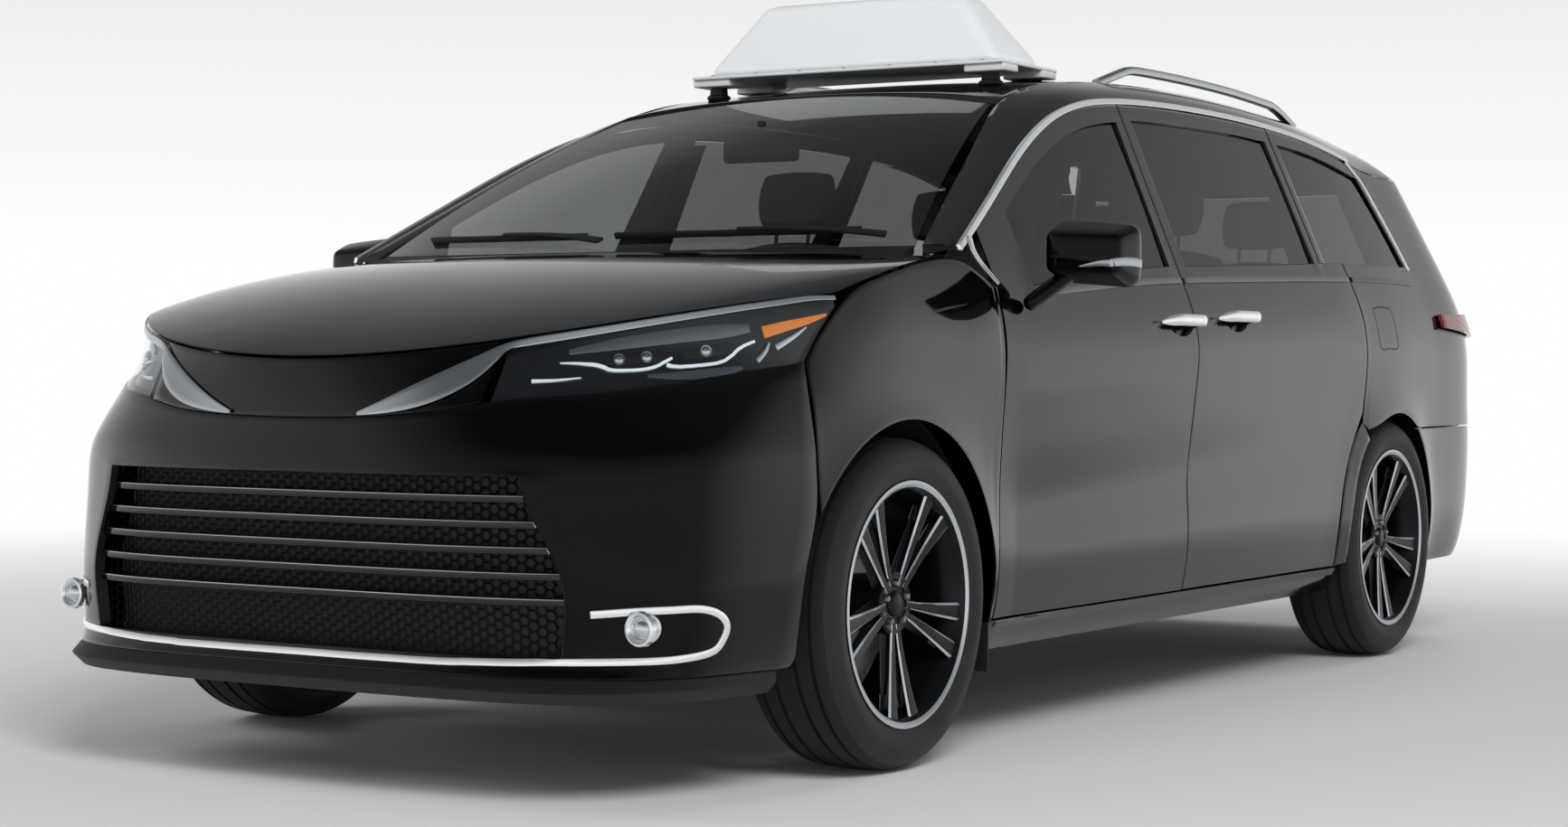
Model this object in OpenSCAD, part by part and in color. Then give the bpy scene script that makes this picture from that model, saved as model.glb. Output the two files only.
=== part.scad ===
/* [Overall] */
// Length over both bumpers
overall_l = 5150; // [5050:10:5250]
// Width over the door skins
body_w = 1990; // [1940:5:2040]
// Height of the roof skin above the ground
roof_h = 1745; // [1715:5:1785]
// Height of the window sill at the front door's handle
belt_h = 1156; // [1136:2:1176]
// Distance between the two axles, as a share of the length
wheelbase_share = 0.594369; // [0.586:0.0005:0.602]
// Nose to front axle, as a share of the length
front_overhang_share = 0.185049; // [0.181:0.0005:0.189]
// Ground to the underside of the sills
sill_h = 225; // [205:5:245]

/* [Wheels] */
// Outer diameter of the tyres
tyre_d = 740; // [720:2:750]
// Width of the tyres
tyre_w = 235; // [215:5:245]
// Diameter of the rim at the tyre bead
rim_d = 522; // [490:2:540]
// Distance between the mid planes of the left and right tyres, as a share of the body's width
track_share = 0.857286; // [0.85:0.001:0.862]
// Radius of the front wheel openings
front_arch_r = 412; // [404:1:420]
// Radius of the rear wheel openings
rear_arch_r = 392; // [386:1:400]
// Radius of the wheel spindles
spindle_r = 30; // [24:1:36]

/* [Doors] */
// Front axle to the front edge of the front door
door_setback = 442; // [436:1:460]
// Rear edge of the sliding door to the rear axle
slide_setback = 279; // [270:1:300]
// Front door's share of the length between the two wheels' panels
front_door_share = 0.457265; // [0.44:0.001:0.47]
// Thickness of a door below the windows
door_t = 80; // [70:1:90]
// Thickness of a window frame
frame_t = 36; // [30:1:42]
// Visible width of a door's window frame
frame_w = 44; // [36:1:52]
// Shut line between panels
shut_gap = 5; // [5:0.5:6]
// Thickness of window glass
glass_t = 5; // [4:0.5:6]
// Radius of the hinge pins
pin_r = 6; // [5:0.5:8]

/* [Roof sign] */
// Width of the sign at its base
sign_w = 1000; // [900:10:1040]
// Width of the sign at its top
sign_top_w = 640; // [560:10:720]
// Front to back depth of the sign at its base
sign_d = 330; // [280:5:360]
// Height of the sign's shell
sign_h = 205; // [180:5:230]

/* [Seats] */
// Width of a front seat
seat_w = 510; // [480:5:540]
// Height of the seat cushions above the floor
seat_h = 340; // [320:5:360]

/* [Hidden] */
$fn = 48;

seat = 0.3;           // gap at which fixed pieces sit on each other
run = 0.05;           // radial clearance of a turning fit
half_w = body_w / 2;
nose_y = -overall_l / 2;
tail_y = overall_l / 2;
front_axle_y = nose_y + front_overhang_share * overall_l;
rear_axle_y = front_axle_y + wheelbase_share * overall_l;
axle_z = tyre_d / 2;
wheel_x = track_share * half_w;
door_front_y = front_axle_y + door_setback;
slide_rear_y = rear_axle_y - slide_setback;
front_door_l = front_door_share * (slide_rear_y - door_front_y);
b_split_y = door_front_y + front_door_l;
slide_door_l = slide_rear_y - b_split_y;

// Stations: the drawn body is stretched piece by piece between axles, ends, belt and roof.
// Each row is [drawn place, built place].
Y_STATIONS = [[-2575, nose_y], [-1622, front_axle_y], [1439, rear_axle_y], [2575, tail_y]];
Z_STATIONS = [[0, 0], [225, sill_h], [1156, belt_h], [1745, roof_h]];
DRAWN_HALF_W = 995;
function turned(map) = [for (m = map) [m[1], m[0]]];
function py(y) = lookup(y, Y_STATIONS);
function ny(y) = lookup(y, turned(Y_STATIONS));
function pz(z) = lookup(z, Z_STATIONS);
function nz(z) = lookup(z, turned(Z_STATIONS));
w_scale = half_w / DRAWN_HALF_W;

// Smooth curve through the rows [place, value, ...] of a table; column c is read
function row_of(tab, t, i = 0) = (i >= len(tab) - 2 || t < tab[i + 1][0]) ? i : row_of(tab, t, i + 1);
function lean(tab, i, c) = let (a = max(i - 1, 0), b = min(i + 1, len(tab) - 1))
    (tab[b][c] - tab[a][c]) / (tab[b][0] - tab[a][0]);
function curve(tab, t, c = 1) = let (
        i = row_of(tab, t), h = tab[i + 1][0] - tab[i][0],
        u = min(max((t - tab[i][0]) / h, 0), 1),
        m0 = lean(tab, i, c) * h, m1 = lean(tab, i + 1, c) * h)
    tab[i][c] * (2 * u ^ 3 - 3 * u ^ 2 + 1) + m0 * (u ^ 3 - 2 * u ^ 2 + u)
    + tab[i + 1][c] * (3 * u ^ 2 - 2 * u ^ 3) + m1 * (u ^ 3 - u ^ 2);
function mix(a, b, u) = a + (b - a) * u;
function ease(u) = let (v = min(max(u, 0), 1)) v * v * (3 - 2 * v);
function bump(d, width) = exp(-(d / width) ^ 2);

// Half width of the body side at each height: [z, x]
SECTION = [[150, 880], [225, 905], [300, 941], [420, 962], [600, 966], [800, 977], [950, 987],
    [1020, 979], [1090, 955], [1156, 926], [1400, 814], [1620, 708], [1745, 650]];
// Share of that width along the body: [y, share]
BOW = [[-1622, 0.974], [-1180, 0.986], [-400, 0.997], [400, 1], [1100, 1], [1500, 0.995], [1900, 0.978]];
// Nose in plan: [z, set back from the foremost point, power of the corner curve]
NOSE = [[180, 45, 4.6], [232, 22, 4.8], [300, 42, 4.3], [430, 22, 3.9], [600, 4, 3.5], [668, 0, 3.4],
    [730, 8, 3.27],
    [790, 14, 2.9], [850, 20, 2.5], [911, 30, 2.25], [1000, 45, 2.2], [1150, 70, 2.2]];
// Tail in plan: [z, set forward of the rearmost point, power of the corner curve]
TAIL = [[250, 70, 4.5], [400, 25, 4.5], [550, 0, 4.5], [680, 8, 4.5], [760, 34, 4.2], [900, 46, 4],
    [1100, 66, 4], [1250, 120, 4], [1450, 215, 4], [1600, 295, 4], [1745, 370, 4]];
NOSE_BASE = -1600;
TAIL_BASE = 1900;
FLARE = 15;           // how far the wheel openings stand out
FLARE_BAND = 120;
VALLEY = 15;          // depth of the hollow along the lower doors
SHOULDER = 9;         // height of the ridge along the waist

function flare(y, z) = max([for (a = [[front_axle_y, front_arch_r], [rear_axle_y, rear_arch_r]])
    FLARE * max(0, 1 - abs(norm([y - a[0], z - axle_z]) - a[1]) / FLARE_BAND) ^ 2]);
function sculpt(y, z) = let (u = ease((y + 1250) / 250) * ease((1330 - y) / 300))
    u * (SHOULDER * bump(z - 870 - 0.1 * (y + 1100), 60)
        - VALLEY * bump(z - 545 - 0.07 * (y + 1180), 95));
function drawn_side(y, z) = curve(SECTION, z) * curve(BOW, y) + sculpt(y, z);
function nose_l(z) = NOSE_BASE - (-2575) - curve(NOSE, z, 1);
function tail_l(z) = 2575 - TAIL_BASE - curve(TAIL, z, 1);
function corner(share, n) = (1 - min(share, 1) ^ n) ^ (1 / n);
function drawn_x(y, z) =
    y < NOSE_BASE ? drawn_side(NOSE_BASE, z) * corner((NOSE_BASE - y) / nose_l(z), curve(NOSE, z, 2)) :
    y > TAIL_BASE ? drawn_side(TAIL_BASE, z) * corner((y - TAIL_BASE) / tail_l(z), curve(TAIL, z, 2)) :
    drawn_side(y, z);

// Half width of the outer skin at a built place
function side_x(y, z) = w_scale * drawn_x(ny(y), nz(z)) + flare(y, z);
function side_pt(y, z, in = 0) = [side_x(y, z) - in, y, z];

// Point of the nose. A column is a share of the half width, or 1 + a drawn depth beside it;
// off moves the point out along the plan curve.
function nose_depth(x_share, z) = nose_l(z) * corner(x_share, curve(NOSE, z, 2));
function nose_pt(col, z, off = 0) = let (
        n_z = nz(z), side = abs(col) > 2, sgn = col < 0 ? -1 : 1,
        w = drawn_side(NOSE_BASE, n_z), l = nose_l(n_z), n = curve(NOSE, n_z, 2),
        q = side ? corner((abs(col) - 1) / l, n) : abs(col) > 1 ? sin(90 * (abs(col) - 1)) ^ (2 / n)
            : abs(col),
        p = side ? (abs(col) - 1) / l : abs(col) > 1 ? cos(90 * (abs(col) - 1)) ^ (2 / n) : corner(q, n))
    let (y = py(NOSE_BASE - p * l)) [sgn * q * (w_scale * w + off + flare(y, z)), y - p * off, z];
function tail_pt(col, z, off = 0) = let (
        n_z = nz(z), side = abs(col) > 1, sgn = col < 0 ? -1 : 1,
        w = drawn_side(TAIL_BASE, n_z), l = tail_l(n_z), n = curve(TAIL, n_z, 2),
        q = side ? corner((abs(col) - 1) / l, n) : abs(col),
        p = side ? (abs(col) - 1) / l : corner(q, n))
    let (y = py(TAIL_BASE + p * l)) [sgn * q * (w_scale * w + off + flare(y, z)), y + p * off, z];
function both_sides(cols) = concat([for (i = [len(cols) - 1:-1:1]) -cols[i]], cols);

// Closed skin between an outer and an inner grid; cells that filled() leaves out are openings.
// Rows run up and columns run to the right when it is seen from outside.
module skin(outer, inner, filled = function (k, j) true) {
    rows = len(outer) - 1;
    cols = len(outer[0]) - 1;
    n = (rows + 1) * (cols + 1);
    function id(k, j) = k * (cols + 1) + j;
    function on(k, j) = k >= 0 && j >= 0 && k < rows && j < cols && filled(k, j);
    function wall(a, b) = [[a, b, n + b], [a, n + b, n + a]];
    polyhedron(points = concat([for (r = outer) each r], [for (r = inner) each r]), convexity = 6,
        faces = [for (k = [0:rows - 1], j = [0:cols - 1]) if (on(k, j)) let (
                a = id(k, j), b = id(k, j + 1), c = id(k + 1, j + 1), d = id(k + 1, j))
            each concat(
                [[a, d, c], [a, c, b], [n + a, n + b, n + c], [n + a, n + c, n + d]],
                on(k - 1, j) ? [] : wall(a, b),
                on(k, j - 1) ? [] : wall(d, a),
                on(k + 1, j) ? [] : wall(c, d),
                on(k, j + 1) ? [] : wall(b, c))]);
}

module on_both_sides() {
    children();
    mirror([1, 0, 0]) children();
}

// Lines along the side: [drawn y, drawn z]
BELT = [[-1305, 1150], [-1157, 1086], [-800, 1112], [-290, 1156], [250, 1180], [810, 1203], [990, 1212],
    [1500, 1222], [1900, 1226]];
WINDOW_TOP = [[-1305, 1163], [-1030, 1303], [-782, 1430], [-540, 1528], [-376, 1572], [-200, 1603],
    [123, 1626], [624, 1635], [1000, 1628], [1332, 1608], [1646, 1560], [1800, 1530]];
// Seam between side and roof: [drawn y, x, z]
ROOF_SEAM = [[-1305, 812, 1180], [-1000, 727, 1342], [-760, 660, 1466], [-520, 597, 1590],
    [-200, 588, 1665],
    [200, 588, 1697], [800, 588, 1706], [1400, 582, 1690], [1850, 566, 1660], [2090, 552, 1636]];
// Crown of the roof: [drawn y, z]
ROOF_CROWN = [[-470, 1634], [-200, 1680], [200, 1725], [650, 1745], [1200, 1738], [1700, 1706],
    [2090, 1656]];

function belt(y) = pz(curve(BELT, ny(y)));
function window_top(y) = pz(curve(WINDOW_TOP, ny(y)));
function seam_pt(y) = let (d = ny(y)) [w_scale * curve(ROOF_SEAM, d, 1), y, pz(curve(ROOF_SEAM, d, 2))];
function arch_z(y, axle, r) = axle_z + sqrt(max(r * r - (y - axle) ^ 2, 0));
function arch_y(z, r) = sqrt(max(r * r - (z - axle_z) ^ 2, 0));

// Hood: front edge, rear edge and the surface between; s runs from the middle to the side
HOOD_TIP_X = 914;
HOOD_REAR_X = 892;
HOOD_NOSE_Z = 911;
HOOD_TIP_RISE = 140;
HOOD_REAR_Y = [-1604, -1402];     // middle, corner
HOOD_REAR_Z = [1163, 1148];       // middle, corner
function hood_front(s) = let (
        x = HOOD_TIP_X * s, z = HOOD_NOSE_Z + HOOD_TIP_RISE * s * s, w = drawn_side(NOSE_BASE, z))
    [w_scale * x, py(NOSE_BASE - nose_depth(x / w, z)), pz(z)];
function hood_rear(s) = [w_scale * HOOD_REAR_X * s, py(mix(HOOD_REAR_Y[0], HOOD_REAR_Y[1], s * s)),
    pz(mix(HOOD_REAR_Z[0], HOOD_REAR_Z[1], s * s))];
function hood_pt(s, t, in = 0) =
    let (a = abs(s), f = hood_front(a), r = hood_rear(a), arch = 4 * t * (1 - t),
        p = mix(f, r, t))
    [(s < 0 ? -1 : 1) * (p[0] + 8 * arch * a - in * a ^ 8), p[1] + in * ((1 - t) ^ 8 - t ^ 8),
        p[2] + arch * mix(40, 8, a ^ 2.5) - in * ease(t / 0.1) * ease((1 - a) / 0.08) * ease((1 - t) / 0.05)];
function edge_z(y) = let (f = hood_front(1), r = hood_rear(1), t = (y - f[1]) / (r[1] - f[1]))
    mix(f[2], r[2], t) + 8 * 4 * t * (1 - t);

// Front bumper
BUMPER_Z = [262, 284, 304, 350, 412, 470, 540, 610, 668, 700, 735];      // drawn heights of its rows
// Columns from the middle to the wheel: [share of the half width, 1 + share of the turn round the corner,
// or 1 + depth; drawn top edge]
BUMPER_COLS = [[0, 782], [0.12, 783], [0.25, 787], [0.38, 797], [0.5, 820], [0.6, 832],
    [1.41, 836], [1.49, 846], [1.57, 862], [1.65, 880], [1.73, 894], [380, 903]];
GRILLE_COL = 5;       // the grille's opening ends at this column
GRILLE_ROWS = [2, 8];
STRIP_ROWS = [1, 2];  // the bright strip lies between these rows
GRILLE_SPREAD = 0.1;  // how much wider the opening is at its foot
bumper_t = 24;
fender_front = 0.855 * front_arch_r;      // front axle to the fender's front edge
function spread(q, z) = q + GRILLE_SPREAD * ease((668 - nz(z)) / 240)
    * (q < 0.6 ? q / 0.6 : max(0, (0.9 - q) / 0.3));
function bumper_end(z) = 1 + NOSE_BASE
    - ny(front_axle_y - max(arch_y(z, front_arch_r), fender_front) - shut_gap);
function bumper_col(j, z) = let (a = abs(j), q = BUMPER_COLS[a][0], sgn = j < 0 ? -1 : 1)
    sgn * (a == len(BUMPER_COLS) - 1 ? bumper_end(z) : q > 1 ? q : spread(q, z));
function bumper_row(k, j) = pz(k < len(BUMPER_Z) ? BUMPER_Z[k] : BUMPER_COLS[abs(j)][1]);
function bumper_grid(rows, cols, off) = [for (k = rows) [for (j = cols)
    let (z = bumper_row(k, j)) nose_pt(bumper_col(j, z), z, off)]];

module front_bumper() {
    last = len(BUMPER_COLS) - 1;
    rows = [0:len(BUMPER_Z)];
    color("#101113") skin(bumper_grid(rows, [-last:last], 0), bumper_grid(rows, [-last:last], -bumper_t),
        function (k, j) k < GRILLE_ROWS[0] || k >= GRILLE_ROWS[1]
            || j < last - GRILLE_COL || j >= last + GRILLE_COL);
}

GRILLE_BARS = 5;
BAR_FOOT = 408;       // drawn height of the lowest bar; open mesh lies below it
BAR_H = 15;           // drawn height of a bar's face
BAR_IN = 12;          // bars stand this far behind the bumper's face
BAR_T = 40;
MESH_T = 8;
module grille() {
    z0 = BUMPER_Z[GRILLE_ROWS[0]];
    z1 = BUMPER_Z[GRILLE_ROWS[1]];
    pitch = (z1 - BAR_FOOT) / GRILLE_BARS;
    cols = [for (i = [-8:8]) i / 8];
    // edge of the opening, straight from row to row of the bumper
    edge = [for (k = [GRILLE_ROWS[0]:GRILLE_ROWS[1]])
        [BUMPER_Z[k], spread(BUMPER_COLS[GRILLE_COL][0], pz(BUMPER_Z[k]))]];
    function pt(c, z, off) = nose_pt(lookup(nz(z), edge) * c * 0.9988, z, off);
    function band(zs, off) = [for (z = zs) [for (c = cols) pt(c, pz(z), off)]];
    bars = [for (b = [0:GRILLE_BARS - 1]) let (z = BAR_FOOT + pitch * b) [z, z + BAR_H]];
    mesh_zs = concat([z0 - 15, z0 + 40], [for (b = bars) each b], [z1 + 10]);
    color("#15161a") {
        for (b = bars) skin(band(b, -BAR_IN), band(b, -BAR_IN - BAR_T));
        skin(band(mesh_zs, -BAR_IN - BAR_T - seat), band(mesh_zs, -BAR_IN - BAR_T - seat - MESH_T));
    }
}

LIP_Z = [212, 236, BUMPER_Z[0] - 0.4];
LIP_OUT = [4, 16, 0];
module bumper_lip() {
    cols = both_sides([0, 0.2, 0.4, 0.6, 0.74, 0.83, 0.89, 701, 581, 471]);
    color("#0b0b0c") skin([for (k = [0:2]) [for (c = cols) nose_pt(c, pz(LIP_Z[k]), LIP_OUT[k])]],
        [for (k = [0:2]) [for (c = cols) nose_pt(c, pz(LIP_Z[k]), -bumper_t * 1.6)]]);
}

module nose_panel() {
    cols = both_sides([0, 0.12, 0.25, 0.38, 0.48]);
    rows = [0, 0.35, 0.7, 1];
    function low(c) = pz(lookup(abs(c), BUMPER_COLS)) + LAMP_GAP;
    function high(c) = hood_front(abs(c) * drawn_side(NOSE_BASE, HOOD_NOSE_Z) / HOOD_TIP_X)[2] - shut_gap;
    function grid(off) = [for (u = rows) [for (c = cols) nose_pt(c, mix(low(c), high(c), u), off)]];
    color("#0c0d0f") skin(grid(-2), grid(-2 - bumper_t));
}

// Headlamps: from the nose panel round the corner to a tip under the hood's edge
LAMP_FIRST = 4;       // the lamp starts at this column of the bumper
LAMP_COLS = concat([for (j = [LAMP_FIRST:len(BUMPER_COLS) - 1]) BUMPER_COLS[j][0]], [345, 310, 280]);
lamp_t = 45;
LAMP_GAP = 0.8;       // joint between bumper and lamp or nose panel
hood_tip = hood_front(1);
lamp_tip_y = py(-1840);
fender_front_y = front_axle_y - fender_front;
function fender_top(y) =
    y < lamp_tip_y ? mix(pz(905), edge_z(lamp_tip_y) - 2 * shut_gap,
        ((y - fender_front_y) / (lamp_tip_y - fender_front_y)) ^ 0.8) :
    y < hood_rear(1)[1] ? edge_z(y) - shut_gap :
    y < py(-1305) ? mix(edge_z(hood_rear(1)[1]) - shut_gap, belt(py(-1305)) - TRIM_W,
        (y - hood_rear(1)[1]) / (py(-1305) - hood_rear(1)[1])) : belt(y) - TRIM_W;
TRIM_W = 9;           // height of the bright strip below the side windows
function lamp_high(j) = let (p = nose_pt(LAMP_COLS[j], pz(980)))
    (p[1] < hood_tip[1] ? hood_front(min(p[0] / w_scale / HOOD_TIP_X, 1))[2]
        : edge_z(p[1])) - 2 * shut_gap;
module headlamps() {
    last = len(LAMP_COLS) - 1;
    rows = [0, 0.3, 0.65, 1];
    own = len(BUMPER_COLS) - LAMP_FIRST;      // columns shared with the bumper
    function low(j) = j < own ? pz(BUMPER_COLS[j + LAMP_FIRST][1]) + LAMP_GAP :
        fender_top(nose_pt(LAMP_COLS[j], pz(980))[1]) + shut_gap + 3;
    function grid(off, inset) = [for (u = rows) [for (j = [0:last])
        nose_pt(LAMP_COLS[j], mix(low(j), lamp_high(j), mix(inset, 1 - inset, u)), off)]];
    color("#c9d2d8") on_both_sides() skin(grid(-3, 0), grid(-3 - lamp_t, 0.15));
}

FOG_R = 31;
FOG_COL = 0.845;
FOG_Z = 366;
module fog_lamps() {
    p = nose_pt(FOG_COL, pz(FOG_Z), seat);
    turn = 45;        // the lamp faces out along the bumper's corner
    color("#b9bfc4") on_both_sides() translate(p) rotate([90, 0, turn]) {
        translate([0, 0, 1.6]) cylinder(r = FOG_R, h = 7);
        translate([0, 0, 8.6 + seat]) cylinder(r1 = FOG_R - 5, r2 = FOG_R - 14, h = 4);
    }
}

// Fenders: columns are places behind the front axle in arch radii, then the strip by the door
FENDER_COLS = [-0.855, -0.78, -0.63, -0.44, -0.22, 0, 0.22, 0.44, 0.63, 0.78, 0.885, 0.955, 0.988];
FENDER_ROWS = [0, 0.1, 0.22, 0.36, 0.52, 0.68, 0.84, 1];
fender_t = 5;
strip_z = sill_h + 75;            // foot of the doors and of the fender's strip
module fenders() {
    ys = concat([for (c = FENDER_COLS) front_axle_y + c * front_arch_r],
        [front_axle_y + front_arch_r + 4, door_front_y - shut_gap]);
    function low(y) = y < front_axle_y + front_arch_r ? arch_z(y, front_axle_y, front_arch_r) : strip_z;
    function grid(in) = [for (u = FENDER_ROWS) [for (y = ys)
        side_pt(y, mix(low(y), fender_top(y), u), in)]];
    color("#101113") on_both_sides() skin(grid(0), grid(fender_t));
}

module hood() {
    s = [for (i = [-10:10]) sin(i * 9)];
    t = [0, 0.03, 0.12, 0.25, 0.4, 0.55, 0.7, 0.85, HOOD_FOOT_T, 1];
    color("#101113") {
        skin([for (v = t) [for (u = s) hood_pt(u, v)]],
            [for (v = t) [for (u = s) hood_pt(u, v, hood_t)]]);
        on_both_sides() {
            hinge_leaf_x(hood_hinge_x, hood_axis, [hood_foot[1] - 10, hood_axis[0] - 3],
                [3 - knuckle_r, 2]);
            translate([hood_foot[0] - 6, hood_foot[1], hood_axis[1] - 5])
                cube([12, 10, hood_foot[2] - seat - hood_axis[1] + 5]);
        }
    }
}
hood_t = 14;
HOOD_FOOT_T = 0.95;
hood_foot = hood_pt(sin(72), HOOD_FOOT_T, hood_t);     // where a strap meets the hood
hood_hinge_x = hood_foot[0];
hood_axis = [hood_rear(1)[1] + 18, hood_rear(1)[2] - 40];       // y and z of the hood's axis
knuckle_r = pin_r + 5;
knuckle_l = 34;

// Strap on a moving panel: a bored knuckle on an axis along X with a bar beside it
module hinge_leaf_x(x, axis, y_span, z_span) {
    difference() {
        union() {
            translate([x - knuckle_l / 2, axis[0], axis[1]]) rotate([0, 90, 0])
                cylinder(r = knuckle_r, h = knuckle_l);
            translate([x - knuckle_l / 2, y_span[0], axis[1] + z_span[0]])
                cube([knuckle_l, y_span[1] - y_span[0], z_span[1] - z_span[0]]);
        }
        translate([x - knuckle_l, axis[0], axis[1]]) rotate([0, 90, 0])
            cylinder(r = pin_r + run, h = 2 * knuckle_l);
    }
}
// Pin of such a hinge between two cheeks; they reach forward and back to what carries them
module hinge_pin_x(x, axis, drop, back, ahead) {
    translate([x - knuckle_l / 2 - 12, axis[0], axis[1]]) rotate([0, 90, 0])
        cylinder(r = pin_r, h = knuckle_l + 24);
    for (side = [-1, 1]) translate([x + side * (knuckle_l / 2 + 7) - 5, axis[0] - max(ahead, pin_r + 2),
        axis[1] - drop])
        cube([10, max(ahead, pin_r + 2) + max(back, pin_r + 1), drop + pin_r - ahead * 0.1]);
}

// Front doors
DOOR_ROWS = [0, 0.08, 0.2, 0.34, 0.48, 0.62, 0.74, 0.86, 1];   // shares of the height below the belt
hinge_back = 80;                  // door's front edge to its hinge axis
flange_t = 3.5;                   // skin ahead of the door's box
DOOR_HINGE_Z = [610, 905];        // drawn heights of the two hinges
hinge_y = door_front_y + hinge_back;
hinge_x = side_x(door_front_y, pz(DOOR_HINGE_Z[0])) - flange_t - knuckle_r - 8;
post_lean = 60;                   // how far the window posts lean back from belt to roof
door_ys = concat([0, hinge_back + 16, hinge_back + 18], [for (u = [0.17, 0.29, 0.42, 0.56, 0.7, 0.83])
    u * front_door_l], [front_door_l - frame_w - shut_gap, front_door_l - shut_gap]);
DOOR_GLASS_COL = 3;               // the window starts at this column
belt_row = len(DOOR_ROWS) - 1;
function post_y(y, u) = y + post_lean * u * ease((y - door_front_y) / front_door_l);
function door_z(y, k) = k <= belt_row ? mix(strip_z + shut_gap, belt(y), DOOR_ROWS[k]) :
    window_top(y) - shut_gap - (k == belt_row + 1 ? frame_w * 1.1 : 0);
function upper(k) = k <= belt_row ? 0 : k == belt_row + 1 ? 0.9 : 1;
function door_y(k, j) = post_y(door_front_y + door_ys[j], upper(k));
module door_shell() {
    last = len(door_ys) - 1;
    rows = [0:belt_row + 2];
    function thick(k, j) = j < 2 ? flange_t : k <= belt_row ? door_t : frame_t;
    skin([for (k = rows) [for (j = [0:last]) let (y = door_y(k, j)) side_pt(y, door_z(y, k))]],
        [for (k = rows) [for (j = [0:last]) let (y = door_y(k, j))
            side_pt(y, door_z(y, k), thick(k, j)) - [0, j == last ? 24 : 0, 0]]],
        function (k, j) k != belt_row || j < DOOR_GLASS_COL || j >= last - 1);
    for (z = DOOR_HINGE_Z) translate([hinge_x, hinge_y, pz(z) - knuckle_l / 2]) difference() {
        union() {
            cylinder(r = knuckle_r, h = knuckle_l);
            translate([-knuckle_r, 0, 0]) cube([2 * knuckle_r, 16 - seat, knuckle_l]);
        }
        translate([0, 0, -1]) cylinder(r = pin_r + run, h = knuckle_l + 2);
    }
}
module door_left() { color("#101113") door_shell(); }
module door_right() { color("#101113") mirror([1, 0, 0]) door_shell(); }

GLASS_IN = 9;                     // glass lies this far behind the skin
GLASS_FIT = 0.7;                   // gap between glass and frame
// Glass in a window: columns of places, functions for its low and high edge
module side_pane(ys, low, high, lean_of) {
    n = len(ys) - 1;
    function y_of(j, u) = lean_of(ys[j], u) + (j == 0 ? GLASS_FIT : j == n ? -GLASS_FIT : 0);
    function grid(in) = [for (u = [0, 0.5, 1]) [for (j = [0:n]) let (y = y_of(j, u))
        side_pt(y, mix(low(y) + GLASS_FIT, high(y) - GLASS_FIT, u), in - 6 * u * (1 - u))]];
    skin(grid(GLASS_IN), grid(GLASS_IN + glass_t));
}
module door_pane() {
    ys = [for (j = [DOOR_GLASS_COL:len(door_ys) - 2]) door_front_y + door_ys[j]];
    side_pane(ys, function (y) belt(y), function (y) window_top(y) - shut_gap - frame_w * 1.1,
        function (y, u) post_y(y, 0.9 * u));
}
module door_glass_left() { color("#2a3034", 0.5) door_pane(); }
module door_glass_right() { color("#2a3034", 0.5) mirror([1, 0, 0]) door_pane(); }

// Mirrors: a rounded pod on a foot that stands on the door's skin below the belt
MIRROR_AT = [1112, -1010, 1165];  // drawn middle of the pod
MIRROR_SIZE = [218, 120, 150];
module mirror_pod() {
    at = [half_w + MIRROR_AT[0] - DRAWN_HALF_W, py(MIRROR_AT[1]), pz(MIRROR_AT[2])];
    r = 34;
    foot = side_pt(at[1] - 60, belt(at[1]) - 40);
    hull() for (sx = [-1, 1], sz = [-1, 1]) {
        translate(at + [sx * (MIRROR_SIZE[0] / 2 - r), 20, sz * (MIRROR_SIZE[2] / 2 - r) - sx * 6])
            sphere(r = r, $fn = 20);
        translate(at + [sx * (MIRROR_SIZE[0] / 2 - r) - 8, -34,
            sz * (MIRROR_SIZE[2] / 2 - r) * 0.7 - sx * 4]) sphere(r = r * 0.75, $fn = 20);
    }
    hull() {
        translate(at + [-70, 0, -52]) sphere(r = 20, $fn = 16);
        translate(foot + [17.6, 0, 0]) sphere(r = 20, $fn = 16);
    }
}
module mirror_left() { color("#0e0f11") mirror_pod(); }
module mirror_right() { color("#0e0f11") mirror([1, 0, 0]) mirror_pod(); }

// Sliding doors: the rear edge runs down round the wheel opening, and the window frame ends
// at the C post, ahead of the panel below it
arch_rim = 68;                    // strip of the quarter panel round the wheel opening
c_post_y = slide_rear_y - 195;
c_lean = 40;
SLIDE_ROWS = [0, 0.1, 0.22, 0.36, 0.5, 0.62, 0.74, 0.86, 1];
SLIDE_POST = 8;                   // column of the C post
slide_front_y = b_split_y;
slide_us = [0, 0.045, 0.17, 0.32, 0.48, 0.62, 0.74, (c_post_y - slide_front_y - frame_w) / slide_door_l,
    (c_post_y - slide_front_y) / slide_door_l, 0.93, 1];
function slide_rear(z) = min(slide_rear_y, rear_axle_y - arch_y(z, rear_arch_r + arch_rim));
function slide_z(y, k) = k <= belt_row ? mix(strip_z + shut_gap, belt(y), SLIDE_ROWS[k]) :
    window_top(y) - shut_gap - (k == belt_row + 1 ? frame_w : 0);
function slide_y(k, j) = let (z = mix(strip_z, belt_h + 50, k <= belt_row ? SLIDE_ROWS[k] : 1),
        low = mix(slide_front_y, slide_rear(z), slide_us[j]))
    k <= belt_row ? low : low + mix(post_lean, c_lean,
        min(slide_us[j] / slide_us[SLIDE_POST], 1)) * upper(k);
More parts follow.
